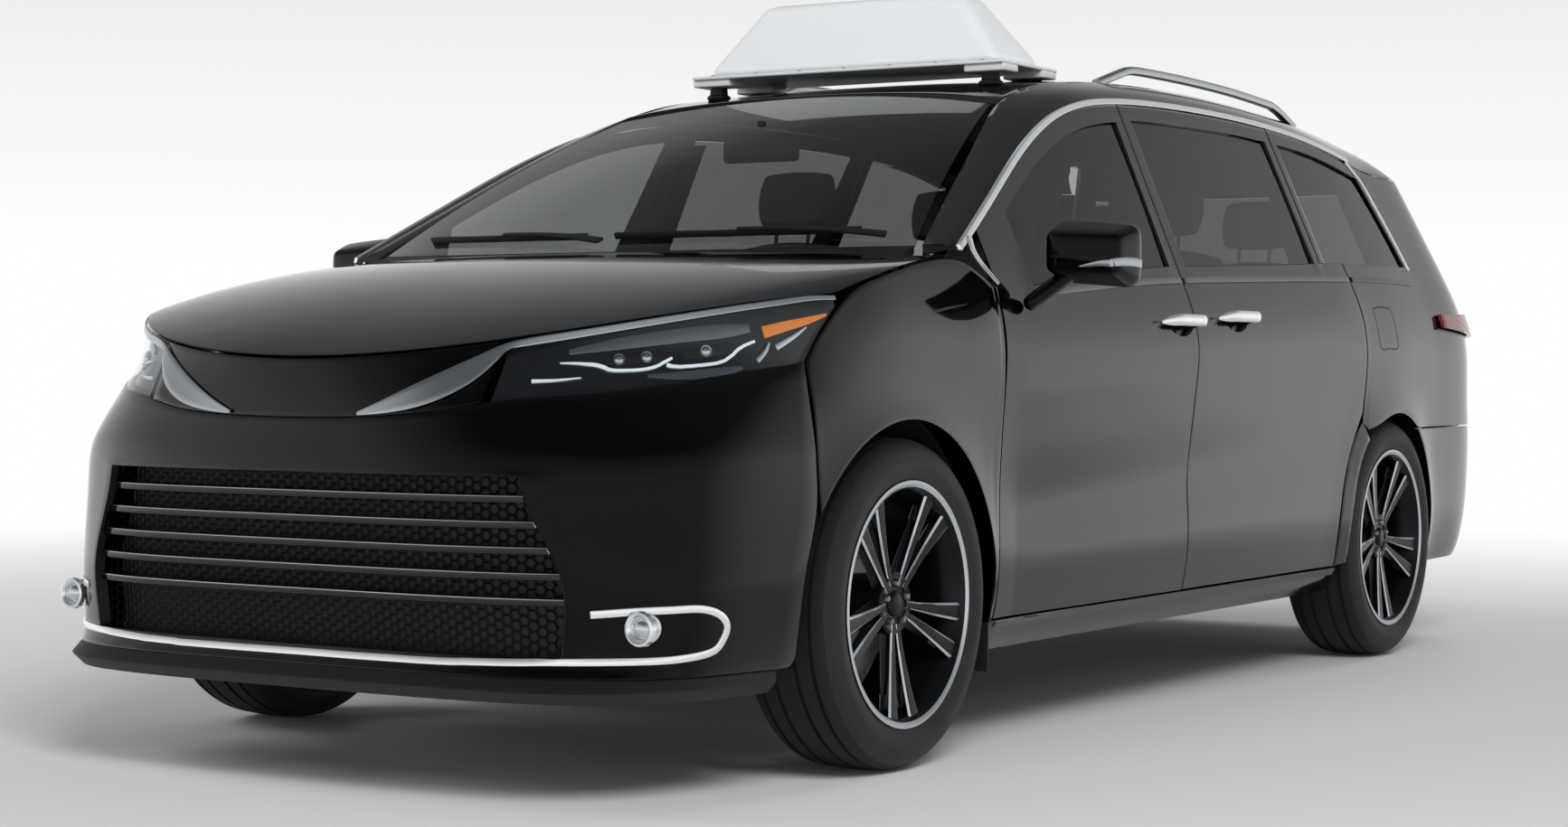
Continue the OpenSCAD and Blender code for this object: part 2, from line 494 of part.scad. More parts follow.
module sliding_doors() {
    last = len(slide_us) - 1;
    rows = [0:belt_row + 2];
    function grid(inner) = [for (k = rows) [for (j = [0:last]) let (y = slide_y(k, j))
        side_pt(y, slide_z(y, k), inner ? (k <= belt_row ? door_t : frame_t) : 0)]];
    color("#101113") on_both_sides() skin(grid(false), grid(true),
        function (k, j) k < belt_row || (j < SLIDE_POST && (k > belt_row || j < 1 || j >= SLIDE_POST - 1)));
}

// Quarter panels: columns [y, how far they lean forward at the roof]; then shares of the tail's depth
QUARTER_TAIL = [0.25, 0.45, 0.62, 0.76, 0.85, 0.9];
QUARTER_ROWS = [0, 0.22, 0.45, 0.68, 0.86, 1];
quarter_t = 60;
RIM_SHARE = 0.61;      // the panel meets the opening this far ahead of the axle, in arch radii
RAIL_GAP = 3.3;        // joint between quarter panel and cant rail
pillar_w = 42;
bumper_top_z = pz(706);
q_belt = len(QUARTER_ROWS) - 1;
Q_AXLE = 7;                       // column above the rear axle
Q_FIRST = 2;                      // columns before this one are only the C post
Q_GLASS = [1, 12];                // columns between which the quarter window lies
quarter_ys = concat([[c_post_y + shut_gap, -c_lean], [c_post_y + shut_gap + pillar_w, -c_lean],
    [slide_rear_y + shut_gap, -20]],
    [for (u = [-RIM_SHARE, -RIM_SHARE + 0.01, -0.42, -0.2, 0, 0.2, 0.38, 0.5])
        [rear_axle_y + u * rear_arch_r, 40 + 50 * u]],
    [[rear_axle_y + 265, 95], [rear_axle_y + 331, 120], [py(TAIL_BASE) - 30, 60]]);
quarter_foot_z = axle_z + sqrt((rear_arch_r + arch_rim) ^ 2 - (rear_axle_y - slide_rear_y) ^ 2);
function quarter_low(y) = y < rear_axle_y - 0.62 * rear_arch_r ? quarter_foot_z :
    max(arch_z(y, rear_axle_y, rear_arch_r), bumper_top_z + shut_gap);
function quarter_z(y, k) = k <= q_belt ? mix(quarter_low(y), belt(y), QUARTER_ROWS[k]) :
    window_top(y) - RAIL_GAP - (k == q_belt + 1 ? frame_w : 0);
function quarter_up(k) = k <= q_belt ? 0 : k == q_belt + 1 ? 0.9 : 1;
function quarter_pt(k, j, in) = let (n = len(quarter_ys))
    j < n ? let (y = quarter_ys[j][0] - quarter_ys[j][1] * quarter_up(k))
        side_pt(y, quarter_z(y, k), in) :
    let (z = quarter_z(py(TAIL_BASE), k), c = 1 + QUARTER_TAIL[j - n] * tail_l(nz(z))) tail_pt(c, z, -in);
module quarter_panels() {
    last = len(quarter_ys) + len(QUARTER_TAIL) - 1;
    function grid(in) = [for (k = [0:q_belt + 2]) [for (j = [0:last]) quarter_pt(k, j, k <= q_belt ? in
        : min(in, frame_t))]];
    rim_low = -asin((axle_z - strip_z - shut_gap) / (rear_arch_r + arch_rim));
    // the strip round the wheel opening: [radius, angle of its upper end]
    rim_edges = let (r = rear_arch_r + arch_rim - shut_gap)
        [[r, asin((quarter_foot_z - axle_z - 2 * seat) / r)], [rear_arch_r, acos(RIM_SHARE) - 0.1]];
    function rim(in) = [for (i = [0:9]) [for (e = rim_edges) let (a = mix(rim_low, e[1], i / 9))
        side_pt(rear_axle_y - e[0] * cos(a), axle_z + e[0] * sin(a), in)]];
    color("#101113") on_both_sides() {
        skin(grid(0), grid(quarter_t), function (k, j) (k >= q_belt || j >= Q_FIRST)
            && (k != q_belt || j < Q_GLASS[0] || j >= Q_GLASS[1]));
        skin(rim(0), rim(fender_t * 3));
    }
}

module side_glass() {
    slide_ys = [for (j = [1:SLIDE_POST - 1]) slide_y(belt_row, j)];
    quarter_pane = [for (j = [Q_GLASS[0]:Q_GLASS[1]]) quarter_ys[j]];
    color("#2a3034", 0.5) on_both_sides() {
        side_pane(slide_ys, function (y) belt(y), function (y) window_top(y) - shut_gap - frame_w,
            function (y, u) y + 0.9 * u * mix(post_lean, c_lean,
                (y - slide_front_y) / (c_post_y - slide_front_y)));
        side_pane([for (q = quarter_pane) q[0]], function (y) belt(y),
            function (y) window_top(y) - RAIL_GAP - frame_w,
            function (y, u) y - 0.9 * u * lookup(y, quarter_pane));
    }
}

// Side frames: cant rail with the A post, sill, hinge post with its pins, and B post
RAIL_YS = [-1305, -1160, -1000, -850, -700, -560, -430, -300, -150, 100, 400, 700, 1000, 1300, 1550,
    1760];
// and columns round the rear corner, shares of the tail's depth
RAIL_TURN = concat([0.02], QUARTER_TAIL);
RAIL_IN = [[-38, 0, 4], [-28, 0, -22], [0, 0, -28]];      // from the outer to the inner face of each row
floor_half_w = 770 * w_scale;
module side_frames() {
    turn_z = window_top(py(TAIL_BASE));
    function mid(t, r) = mix(t, r, 0.5) + [14, 0, 10];
    function rail(k, y) = let (t = side_pt(y, window_top(y)), r = seam_pt(y)) [t, mid(t, r), r][k];
    function rail_turn(k, u) = let (t = tail_pt(1 + u * tail_l(nz(turn_z)), turn_z),
            y = mix(py(TAIL_BASE), liftgate_axis[0] + 44, u / RAIL_TURN[len(RAIL_TURN) - 1]),
                s = seam_pt(y),
            r = [mix(s[0], gate_head_x + shut_gap, ease((y - liftgate_axis[0]) / 40)), y, s[2] - 4 * u])
        [t, mid(t, r) - [0, 0, 6 * u], r][k];
    function rail_grid(in) = [for (k = [0:2]) [for (i = [0:len(RAIL_YS) + len(RAIL_TURN) - 1])
        i < len(RAIL_YS) ? rail(k, py(RAIL_YS[i])) + in * RAIL_IN[k] :
        let (u = RAIL_TURN[i - len(RAIL_YS)], d = RAIL_IN[k])
            rail_turn(k, u) + in * [d[0] * (1 - u ^ 3), d[0] * u ^ 3, d[2]]]];
    sill_ys = [for (u = [0:8]) mix(front_axle_y + front_arch_r + 4,
        rear_axle_y - rear_arch_r - arch_rim * 0.5, u / 8)];
    sill_zs = [sill_h, sill_h + 30, strip_z];
    b_rows = [0, 0.3, 0.6, 1];
    function b_pt(y, u, in) = let (z = mix(strip_z + seat, belt(y), u)) side_pt(y, z, in);
    function b_top(y, u, in) = let (z = mix(belt(y), window_top(y) - 60, u))
        side_pt(y + post_lean * u, z, in);
    color("#101113") on_both_sides() {
        skin(rail_grid(0), rail_grid(1));
        skin([for (z = sill_zs) [for (y = sill_ys) side_pt(y, z, z > sill_h ? 0 : 12)]],
            [for (z = sill_zs) [for (y = sill_ys) [floor_half_w + seat, y, z]]]);
        skin([for (u = b_rows) [for (y = [b_split_y - 80, b_split_y + 80]) b_pt(y, u, door_t + 16)]],
            [for (u = b_rows) [for (y = [b_split_y - 80, b_split_y + 80]) b_pt(y, u, door_t + 60)]]);
        skin([for (u = b_rows) [for (y = [b_split_y - 50, b_split_y + 50])
                b_top(y, u, frame_t + 16 + 44 * (1 - u))]],
            [for (u = b_rows) [for (y = [b_split_y - 50, b_split_y + 50])
                b_top(y, u, frame_t + 44 + 60 * (1 - u))]]);
        hinge_post();
    }
}
post_in = 84;                     // hinge axis to the hinge post's face
module hinge_post() {
    translate([floor_half_w + seat, hinge_y - 75, strip_z + seat])
        cube([hinge_x - post_in - floor_half_w - seat, 85, pz(1060) - strip_z]);
    for (z = DOOR_HINGE_Z) {
        translate([hinge_x, hinge_y, pz(z) - knuckle_l / 2 - 14]) cylinder(r = pin_r, h = knuckle_l + 28);
        for (s = [-1, 1]) translate([hinge_x - post_in - 1, hinge_y - pin_r - 2,
            pz(z) + s * (knuckle_l / 2 + 8) - 6])
            cube([post_in + 1 + pin_r, 2 * pin_r + 4, 12]);
    }
}

// Roof
liftgate_axis = [py(2101), pz(1640)];   // y and z of the liftgate's axis
roof_t = 16;
ROOF_DITCH = 4.2;      // groove between roof and cant rail
function roof_z(x, y) = let (s = seam_pt(y), c = pz(curve(ROOF_CROWN, ny(y))))
    c - (c - s[2]) * min(abs(x / s[0]), 1) ^ 2.3;
module roof_panel() {
    ys = concat([py(-455)], [for (y = RAIL_YS) if (y > -400) py(y)],
        [py(TAIL_BASE), py(2000), liftgate_axis[0] - 22]);
    us = [for (i = [-6:6]) sin(i * 15)];
    function grid(in) = [for (j = [0:len(ys) - 1]) [for (u = us)
        let (y = ys[j] - (j == 0 ? 55 * u * u : 0),
        x = u * (seam_pt(y)[0] - ROOF_DITCH)) [x, y, roof_z(x, y) - in]]];
    color("#101113") {
        skin(grid(0), grid(roof_t));
        on_both_sides() hinge_pin_x(gate_hinge_x, liftgate_axis, 20, 0, 60);
    }
}

// Windshield between the cowl and the roof
SCREEN_FOOT = [[0, -1545, 1167], [800, -1305, 1178]];      // [x, y, z] at the middle and the corner
SCREEN_HEAD = [[0, -470, 1632], [588, -530, 1583]];
screen_t = 6;
SCREEN_SHARE = 0.9905;            // the pane stops short of the posts
COWL_SS = [for (i = [-7:7]) sin(i * 9)];      // columns of the pane and of the cowl
function screen_edge(e, s) = let (u = s * s) [w_scale * e[1][0] * s, py(mix(e[0][1], e[1][1], u)),
    pz(mix(e[0][2], e[1][2], u))];
function screen_pt(s, t, in = 0) = mix(screen_edge(SCREEN_FOOT, s), screen_edge(SCREEN_HEAD, s), t)
    + [0, 0.5, -0.85] * (in - 100 * t * (1 - t));
module windshield() {
    ts = [0, 0.2, 0.4, 0.6, 0.8, 0.985];
    function grid(in) = [for (t = ts) [for (s = COWL_SS)
        screen_pt(s / COWL_SS[14] * SCREEN_SHARE, t, in)]];
    color("#30363a", 0.5) skin(grid(0), grid(screen_t));
}
COWL_DROP = 22;
cowl_t = 20;
module cowl() {
    function pt(s, u, in) = let (f = hood_rear(abs(s)),
        b = screen_pt(abs(s) / COWL_SS[14] * SCREEN_SHARE, 0),
            p = mix(f + [0, 20, -COWL_DROP], b + [0, -0.6, -0.5], u))
        [(s < 0 ? -1 : 1) * p[0], p[1], p[2] - in];
    color("#0d0d0e") skin([for (u = [0, 0.5, 1]) [for (s = COWL_SS) pt(s, u, 0)]],
        [for (u = [0, 0.5, 1]) [for (s = COWL_SS) pt(s, u, cowl_t)]]);
    // brackets down to the bulkhead
    p = pt(COWL_SS[13], 1, cowl_t);
    color("#0d0d0e") on_both_sides() {
        translate([p[0] - 20, p[1] - 5, bulkhead_top + seat]) cube([40, bulkhead_y + 12 - p[1], 10]);
        translate([p[0] - 3, p[1] - 4.2, bulkhead_top + 5]) cube([6, 4, p[2] - 0.8 - bulkhead_top - 5]);
    }
}

// Rear bumper: from wheel opening to wheel opening round the tail
REAR_BUMPER_Z = [270, nz(strip_z), 330, 420, 520, 600, 660, 706];
REAR_COLS = [0, 0.2, 0.4, 0.58, 0.72, 0.82, 0.89, 561, 451, 331, 211, 91];
module rear_bumper() {
    ends = [for (z = REAR_BUMPER_Z)
        rear_axle_y + max(arch_y(pz(z), rear_arch_r), 0.5 * rear_arch_r) + shut_gap];
    n = len(REAR_COLS);
    // the last two columns lie on the body side, the last on the wheel opening
    function pt(k, j, off) = let (a = abs(j), s = j < 0 ? -1 : 1, z = pz(REAR_BUMPER_Z[k]))
        a < n ? tail_pt(-s * REAR_COLS[a], z, off) :
        let (p = side_pt(a == n ? mix(py(TAIL_BASE), ends[k], 0.4) : ends[k], z, -off))
            [-s * p[0], p[1], p[2]];
    function grid(off) = [for (k = [0:len(REAR_BUMPER_Z) - 1]) [for (j = [-n - 1:n + 1]) pt(k, j, off)]];
    color("#101113") skin(grid(0), grid(-bumper_t));
}

// Liftgate: rows up the tail, then the spoiler and the rolled edge at the hinge
GATE_Z = [728, 800, 890, 990, 1090, 1130, 1500, 1560, 1615];
GATE_COLS = [0, 0.2, 0.38, 0.54, 0.66, 0.752];
GATE_GLASS = [5, 6];              // rows between which the rear window lies
gate_t = 55;
SPOILER = [42, 20];               // how far the spoiler stands out and rises
function gate_pt(k, c, in) = let (n = len(GATE_Z))
    k < n ? tail_pt(c, pz(GATE_Z[k]), -in) :
    k == n ? tail_pt(c, pz(GATE_Z[n - 1]), -in * 0.5) + [0, SPOILER[0], SPOILER[1] - in * 0.4] :
    let (x = c / GATE_COLS[len(GATE_COLS) - 1] * gate_head_x,
        y = liftgate_axis[0] + (k == n + 1 ? 44 : 14))
    [x, y, roof_z(x, y) - (k == n + 1 ? in * 0.4 : 13 + in * 0.16)];
module liftgate() {
    cols = [for (c = both_sides(GATE_COLS)) -c];
    last = len(GATE_Z) + 2;
    m = len(GATE_COLS);
    color("#101113") {
        skin([for (k = [0:last]) [for (c = cols) gate_pt(k, c, 0)]],
            [for (k = [0:last]) [for (c = cols) gate_pt(k, c, gate_t)]],
            function (k, j) k != GATE_GLASS[0] || j < 1 || j >= 2 * m - 3);
        on_both_sides() hinge_leaf_x(gate_hinge_x, liftgate_axis,
            [liftgate_axis[0] + 2, liftgate_axis[0] + 60],
            [gate_seat_z - liftgate_axis[1] - 10, gate_seat_z - liftgate_axis[1]]);
    }
}
gate_head_x = 0.96 * tail_pt(GATE_COLS[len(GATE_COLS) - 1], pz(GATE_Z[len(GATE_Z) - 1]))[0];
gate_hinge_x = 200 * w_scale;
// underside of the gate's head
gate_seat_z = roof_z(gate_hinge_x, liftgate_axis[0] + 44) - gate_t * 0.4 - 2;
module liftgate_glass() {
    cols = [for (c = both_sides([for (j = [0:len(GATE_COLS) - 2]) GATE_COLS[j]])) -c * 0.997];
    zs = [for (u = [0, 0.33, 0.66, 1]) mix(pz(GATE_Z[5]) + GLASS_FIT, pz(GATE_Z[6]) - GLASS_FIT, u)];
    color("#2a3034", 0.5) skin([for (z = zs) [for (c = cols) chord_pt(c, z, GLASS_IN)]],
        [for (z = zs) [for (c = cols) chord_pt(c, z, GLASS_IN + glass_t)]]);
}
// The rear window is flat from foot to head, as its opening is
function chord_pt(c, z, in) = mix(tail_pt(c, pz(GATE_Z[5]), -in), tail_pt(c, pz(GATE_Z[6]), -in),
    (z - pz(GATE_Z[5])) / (pz(GATE_Z[6]) - pz(GATE_Z[5])));

// Tail lamps: shells on the rear corners
TAIL_LAMP_Z = [985, 1035, 1090];
lamp_out = 14;
module tail_lamps() {
    n = len(QUARTER_TAIL);
    function grid(off) = [for (k = [0:2]) [for (j = [0:n]) let (
        z = pz(mix(TAIL_LAMP_Z[k], TAIL_LAMP_Z[2] - 25, 0.6 * (1 - j / n))), u = j == 0 ? 0.02
            : QUARTER_TAIL[j - 1])
        tail_pt(1 + u * tail_l(nz(z)), z, off)]];
    color("#a01822") on_both_sides() skin(grid(lamp_out), grid(1.7));
}

// Closed bar through rings of points; each ring turns clockwise seen from its start
module sweep(rings) {
    n = len(rings[0]);
    m = len(rings);
    polyhedron(points = [for (r = rings) each r], convexity = 4, faces = concat(
        [for (i = [1:n - 2]) [0, i, i + 1]],
        [for (i = [1:n - 2]) [(m - 1) * n, (m - 1) * n + i + 1, (m - 1) * n + i]],
        [for (r = [0:m - 2], i = [0:n - 1]) let (a = r * n + i, b = r * n + (i + 1) % n)
            each [[a, a + n, b + n], [a, b + n, b]]]));
}

// Roof rails: a raised bar on each side whose ends come down to the roof
RAIL_SPAN = [180, 1640];
RAIL_H = 26;
RAIL_LIFT = 30;
module roof_rails() {
    m = 16;
    function ring(i) = let (u = i / m, y = mix(py(RAIL_SPAN[0]), py(RAIL_SPAN[1]), u),
        x = seam_pt(y)[0] - 34,
            z = roof_z(x, y) + 1.5 + RAIL_LIFT * ease(min(u, 1 - u) / 0.14),
                h = RAIL_H * mix(0.3, 1, ease(min(u, 1 - u) / 0.1)))
        [[x - 13, y, z], [x - 14, y, z + h * 0.6], [x - 6, y, z + h], [x + 7, y, z + h * 0.94],
            [x + 15, y, z + h * 0.5], [x + 14, y, z]];
    color("#b4b8bc") on_both_sides() sweep([for (i = [0:m]) ring(i)]);
}

// Roof sign: a tapered shell on a flange that stands on four feet
sign_y = py(-150);
sign_z = roof_z(0, sign_y + sign_d / 2) + 6;
flange_h = 10;
module roof_sign() {
    color("#f2f2f0") translate([0, sign_y, sign_z + flange_h + seat]) hull() {
        for (s = [-1, 1], d = [-1, 1]) {
            translate([s * (sign_w / 2 - 40), d * (sign_d / 2 - 40), 0])
                cylinder(r = 20, h = 4, $fn = 24);
            translate([s * (sign_top_w / 2 - 24), d * (sign_d * 0.2 - 20), sign_h - 18])
                sphere(r = 18, $fn = 24);
        }
    }
}
module sign_base() {
    feet = [sign_w / 2 - 60, sign_d / 2 - 50];
    color("#e4e4e2") translate([-sign_w / 2, sign_y - sign_d / 2, sign_z])
        cube([sign_w, sign_d, flange_h]);
    color("#1a1a1b") for (s = [-1, 1], d = [-1, 1]) {
        z = max([for (a = [-1, 1], b = [-1, 1])
            roof_z(s * feet[0] + 32 * a, sign_y + d * feet[1] + 32 * b)]) - 1.5;
        translate([s * feet[0], sign_y + d * feet[1], z]) cylinder(r = 32, h = sign_z - z);
    }
}

// Floor with bulkhead and rear panel
floor_z = strip_z;
floor_t = 24;
house_in = [525, 575];            // inner walls of the front and rear wheel houses
house_gap = [430, 408];           // radius of the front and rear wheel houses
bulkhead_y = py(-1345);
bulkhead_top = pz(1095);
bulkhead_half = hood_hinge_x + knuckle_l;
house_t = 6;
module floor_pan() {
    rear_well = house_gap[1] + house_t + 4;
    front_half = house_in[0] - house_t - seat;
    outline = [[front_half, bulkhead_y], [front_half, front_axle_y + house_gap[0] + house_t + 4],
        [floor_half_w, front_axle_y + house_gap[0] + house_t + 4],
            [floor_half_w, rear_axle_y - rear_well],
        [house_in[1] - house_t - seat, rear_axle_y - rear_well],
            [house_in[1] - house_t - seat, rear_axle_y + rear_well],
        [floor_half_w, rear_axle_y + rear_well], [floor_half_w, py(2360)], [0, py(2360)],
            [0, bulkhead_y]];
    color("#26272a") {
        on_both_sides() translate([0, 0, floor_z]) linear_extrude(floor_t) polygon(outline);
        translate([-front_half, bulkhead_y, floor_z]) cube([2 * front_half, 12, bulkhead_top - floor_z]);
        translate([-bulkhead_half, bulkhead_y, axle_z + house_gap[0] + house_t + 4])
            cube([2 * bulkhead_half, 12, bulkhead_top - axle_z - house_gap[0] - house_t - 4]);
        translate([-floor_half_w, py(2360) - 14, floor_z])
            cube([2 * floor_half_w, 14, pz(690) - floor_z]);
        translate([-180, py(2360) - 1, floor_z])
            cube([360, tail_pt(REAR_COLS[1], floor_z, -bumper_t)[1] - seat - py(2360) + 1, floor_t]);
        on_both_sides() hinge_pin_x(hood_hinge_x, hood_axis, 60, bulkhead_y - hood_axis[0] + 4, 0);
    }
}

module wheel_houses() {
    color("#18191b") for (end = [0, 1]) on_both_sides() {
        r = house_gap[end];
        axle = end == 0 ? front_axle_y : rear_axle_y;
        out = wheel_x + 34;
        translate([0, axle, axle_z]) difference() {
            translate([house_in[end] - house_t, 0, 0]) rotate([0, 90, 0])
                cylinder(r = r + house_t, h = out - house_in[end] + house_t);
            translate([house_in[end], 0, 0]) rotate([0, 90, 0]) cylinder(r = r, h = out);
            translate([0, -2 * r, floor_z + floor_t - 10 - axle_z - 2 * r]) cube([2 * out, 4 * r, 2 * r]);
            // way in for the drive shaft, arms and axle
            translate([house_in[end] - 3 * house_t, -170, -41]) cube([6 * house_t, 340, 300]);
        }
    }
    // brackets from the rear houses to the quarter panels above the axle
    z = axle_z + house_gap[1] + 1;
    foot = quarter_z(rear_axle_y, 0);
    rise = (z + house_t / 2 - foot) / (quarter_z(rear_axle_y, 1) - foot);
    x = mix(quarter_pt(0, Q_AXLE, quarter_t), quarter_pt(1, Q_AXLE, quarter_t), rise)[0] - seat;
    color("#18191b") on_both_sides() translate([wheel_x, rear_axle_y - 3, z])
        cube([x - wheel_x, 6, house_t - 2]);
}

module mud_flaps() {
    flap_t = 6;
    // [y of the flap's front face, foot]
    flaps = [[front_axle_y + front_arch_r + 4 - seat - flap_t, 182],
        [rear_axle_y + arch_y(pz(270), rear_arch_r) + shut_gap - seat - flap_t, 222]];
    color("#0c0c0d") on_both_sides() for (f = flaps)
        translate([800 * w_scale, f[0], f[1]]) cube([140 * w_scale, flap_t, strip_z - 2 - f[1]]);
}

// Dashboard across the cabin, with the steering column
module dashboard() {
    profile = [[-1310, 760], [-1310, 1060], [-1200, 1085], [-1010, 1062], [-960, 1010], [-965, 900],
        [-1040, 760], [-1150, 620], [-1200, 620]];
    half = floor_half_w - seat;
    color("#1b1b1d") {
        translate([-half, 0, 0]) rotate([90, 0, 90]) linear_extrude(2 * half)
            polygon([for (p = profile) [py(p[0]), pz(p[1])]]);
        translate([-110, py(-1060), floor_z + floor_t + seat])
            cube([220, 430, pz(720) - floor_z - floor_t - seat]);
        translate(column_foot) rotate([column_tilt - 90, 0, 0]) translate([0, 0, -60])
            cylinder(r = 30, h = 60 + column_l);
    }
}
column_foot = [370, py(-985), pz(935)];
column_tilt = 26;
column_l = 95;        // column past the dashboard's face
STEER_R = 185;
module steering_wheel() {
    color("#141415") translate(column_foot) rotate([column_tilt - 90, 0, 0])
        translate([0, 0, column_l + seat + 44]) {
            rotate_extrude() translate([STEER_R, 0]) circle(r = 15);
            translate([0, 0, -44]) cylinder(r = 62, h = 60);
            for (a = [0, 180, 270]) rotate(a) translate([55, -18, -8]) cube([STEER_R - 60, 36, 14]);
        }
}

// Seats: one profile of cushion and back, with a headrest on two posts
module seat_row(x, y, w, rest_w) {
    base = floor_z + floor_t + seat;
    translate([x - w / 2, y, base]) {
        rotate([90, 0, 90]) linear_extrude(w)
            polygon([[0, seat_h - 150], [10, seat_h - 20], [60, seat_h], [400, seat_h - 20],
            [430, seat_h + 40], [560, seat_h + 600], [600, seat_h + 625], [650, seat_h + 600],
                [560, seat_h - 60], [520, seat_h - 150]]);
        translate([40, 60, 0]) cube([w - 80, 420, seat_h - 150]);
    }
    for (i = [0:1]) translate([x + (i - 0.5) * 110 - 6, y + 607, base + seat_h + 560])
        cube([12, 12, 110]);
    translate([x - rest_w / 2, y, base]) rotate([90, 0, 90]) linear_extrude(rest_w)
        polygon([[578, seat_h + 650], [590, seat_h + 800], [620, seat_h + 830], [660, seat_h + 810],
            [665, seat_h + 670], [640, seat_h + 650]]);
}
module front_seats() {
    color("#2b2b2e") for (s = [-1, 1]) seat_row(s * 370, py(-620), seat_w, 250);
}
module rear_seats() {
    color("#2b2b2e") for (s = [-1, 1]) {
        seat_row(s * 385, py(330), seat_w, 240);
        seat_row(s * 275, py(1330), seat_w + 20, 230);
    }
}

// Running gear and what shows from below
module engine_block() {
    color("#4a4c4f") translate([-380, py(-2120), arm_z + 20 + seat]) {
        translate([0, 60, 40]) cube([700, 520, 520]);
        translate([60, 110, 0]) cube([560, 420, 40]);
        translate([120, 140, 560]) cube([480, 380, 90]);
    }
}
module exhaust() {
    z = 190;
    pipe = [-140, py(-1250), py(2080)];       // place across, front end, rear end at the silencer
    color("#7d8083") {
        translate([pipe[0], pipe[1], z]) rotate([-90, 0, 0]) cylinder(r = 32, h = pipe[2] - pipe[1]);
        translate([-380, pipe[2], z - 50]) cube([760, 200, floor_z - seat - z + 50]);
    }
}
module fuel_tank() {
    color("#2c2d2f") translate([0, py(150), 190]) difference() {
        cube([560, 720, floor_z - 190 - seat]);
        translate([-1, 80, -1]) cube([60, 560, 30]);
    }
}

arm_z = axle_z - 130;             // plane of the lower arms
king_x = wheel_x - 118;           // steering axis of a front wheel
top_z = axle_z + 150;             // plane of the struts' feet
king_r = 13;
horn_y = seat + max([for (z = [222, 250]) lookup(z,
    [for (l = LIP_Z) [l, nose_pt(0.2, pz(l), -bumper_t * 1.6)[1]]])]);
module front_subframe() {
    color("#2e3033") {
        translate([-360, front_axle_y - 160, arm_z - 30])
            cube([720, bulkhead_y + 80 - front_axle_y + 160, 50]);
        on_both_sides() {
            translate([240, bulkhead_y + 10, arm_z]) cube([100, 60, floor_z - seat - arm_z]);
            // horn forward to the back of the bumper's lip
            translate([120, horn_y, pz(222)]) cube([60, front_axle_y - 150 - horn_y, pz(250) - pz(222)]);
            difference() {
                union() {
                    translate([350, front_axle_y - 25, arm_z - 15]) cube([king_x - 350, 50, 30]);
                    translate([350, front_axle_y + 120, arm_z - 15]) cube([120, 50, 30]);
                    translate([king_x, front_axle_y, arm_z - 15]) cylinder(r = 30, h = 30);
                }
                translate([king_x, front_axle_y, arm_z - 20]) cylinder(r = king_r + run, h = 40);
            }
            difference() {
                union() {
                    translate([king_x, front_axle_y, top_z - 15]) cylinder(r = 28, h = 30);
                    translate([house_in[0] - 40, front_axle_y - 22, top_z - 15])
                        cube([king_x - house_in[0] + 40, 44, 30]);
                    translate([house_in[0] - 40, front_axle_y - 30, arm_z + 10])
                        cube([26, 60, top_z - arm_z + 5]);
                }
                translate([king_x, front_axle_y, top_z - 20]) cylinder(r = king_r + run, h = 40);
            }
        }
    }
}

// Steering knuckle: king pin top and bottom, upright, spindle and brake caliper
module knuckle() {
    translate([king_x, front_axle_y, 0]) {
        translate([0, 0, arm_z - 14]) cylinder(r = king_r, h = 34);
        translate([0, 0, top_z - 20]) cylinder(r = king_r, h = 34);
        translate([-22, -35, arm_z + 20]) cube([44, 70, top_z - 20 - arm_z - 20]);
    }
    translate([king_x + 10, front_axle_y, axle_z]) rotate([0, 90, 0])
        cylinder(r = spindle_r, h = wheel_x + spindle_out - king_x - 10);
    translate([king_x - 10, front_axle_y + 30, axle_z - 60]) cube([32, 150, 60]);
}
module knuckle_left() { color("#55585b") knuckle(); }
module knuckle_right() { color("#55585b") mirror([1, 0, 0]) knuckle(); }

beam_h = 70;
module rear_axle() {
    color("#2e3033") {
        translate([-wheel_x + hub_in + 8, rear_axle_y - 120, floor_z - seat - beam_h])
            cube([2 * (wheel_x - hub_in - 8), 70, beam_h]);
        on_both_sides() {
            translate([wheel_x - hub_in - 60, rear_axle_y - 120, floor_z - seat - beam_h])
                cube([52, 170, axle_z + 50 - floor_z + beam_h]);
            translate([wheel_x - hub_in - 20, rear_axle_y, axle_z]) rotate([0, 90, 0])
                cylinder(r = spindle_r, h = hub_in + 20 + spindle_out);
        }
    }
}

// Wheels: rim, five pairs of spokes, bored hub and brake disc turn together
spindle_out = 52;                 // how far a spindle reaches past the tyre's mid plane
hub_in = 86;                      // inner end of the hub behind the mid plane
rim_r = rim_d / 2;
rim_t = 10;
SPOKES = 5;
spoke_r = rim_r - 16;             // the spokes end in the rim here
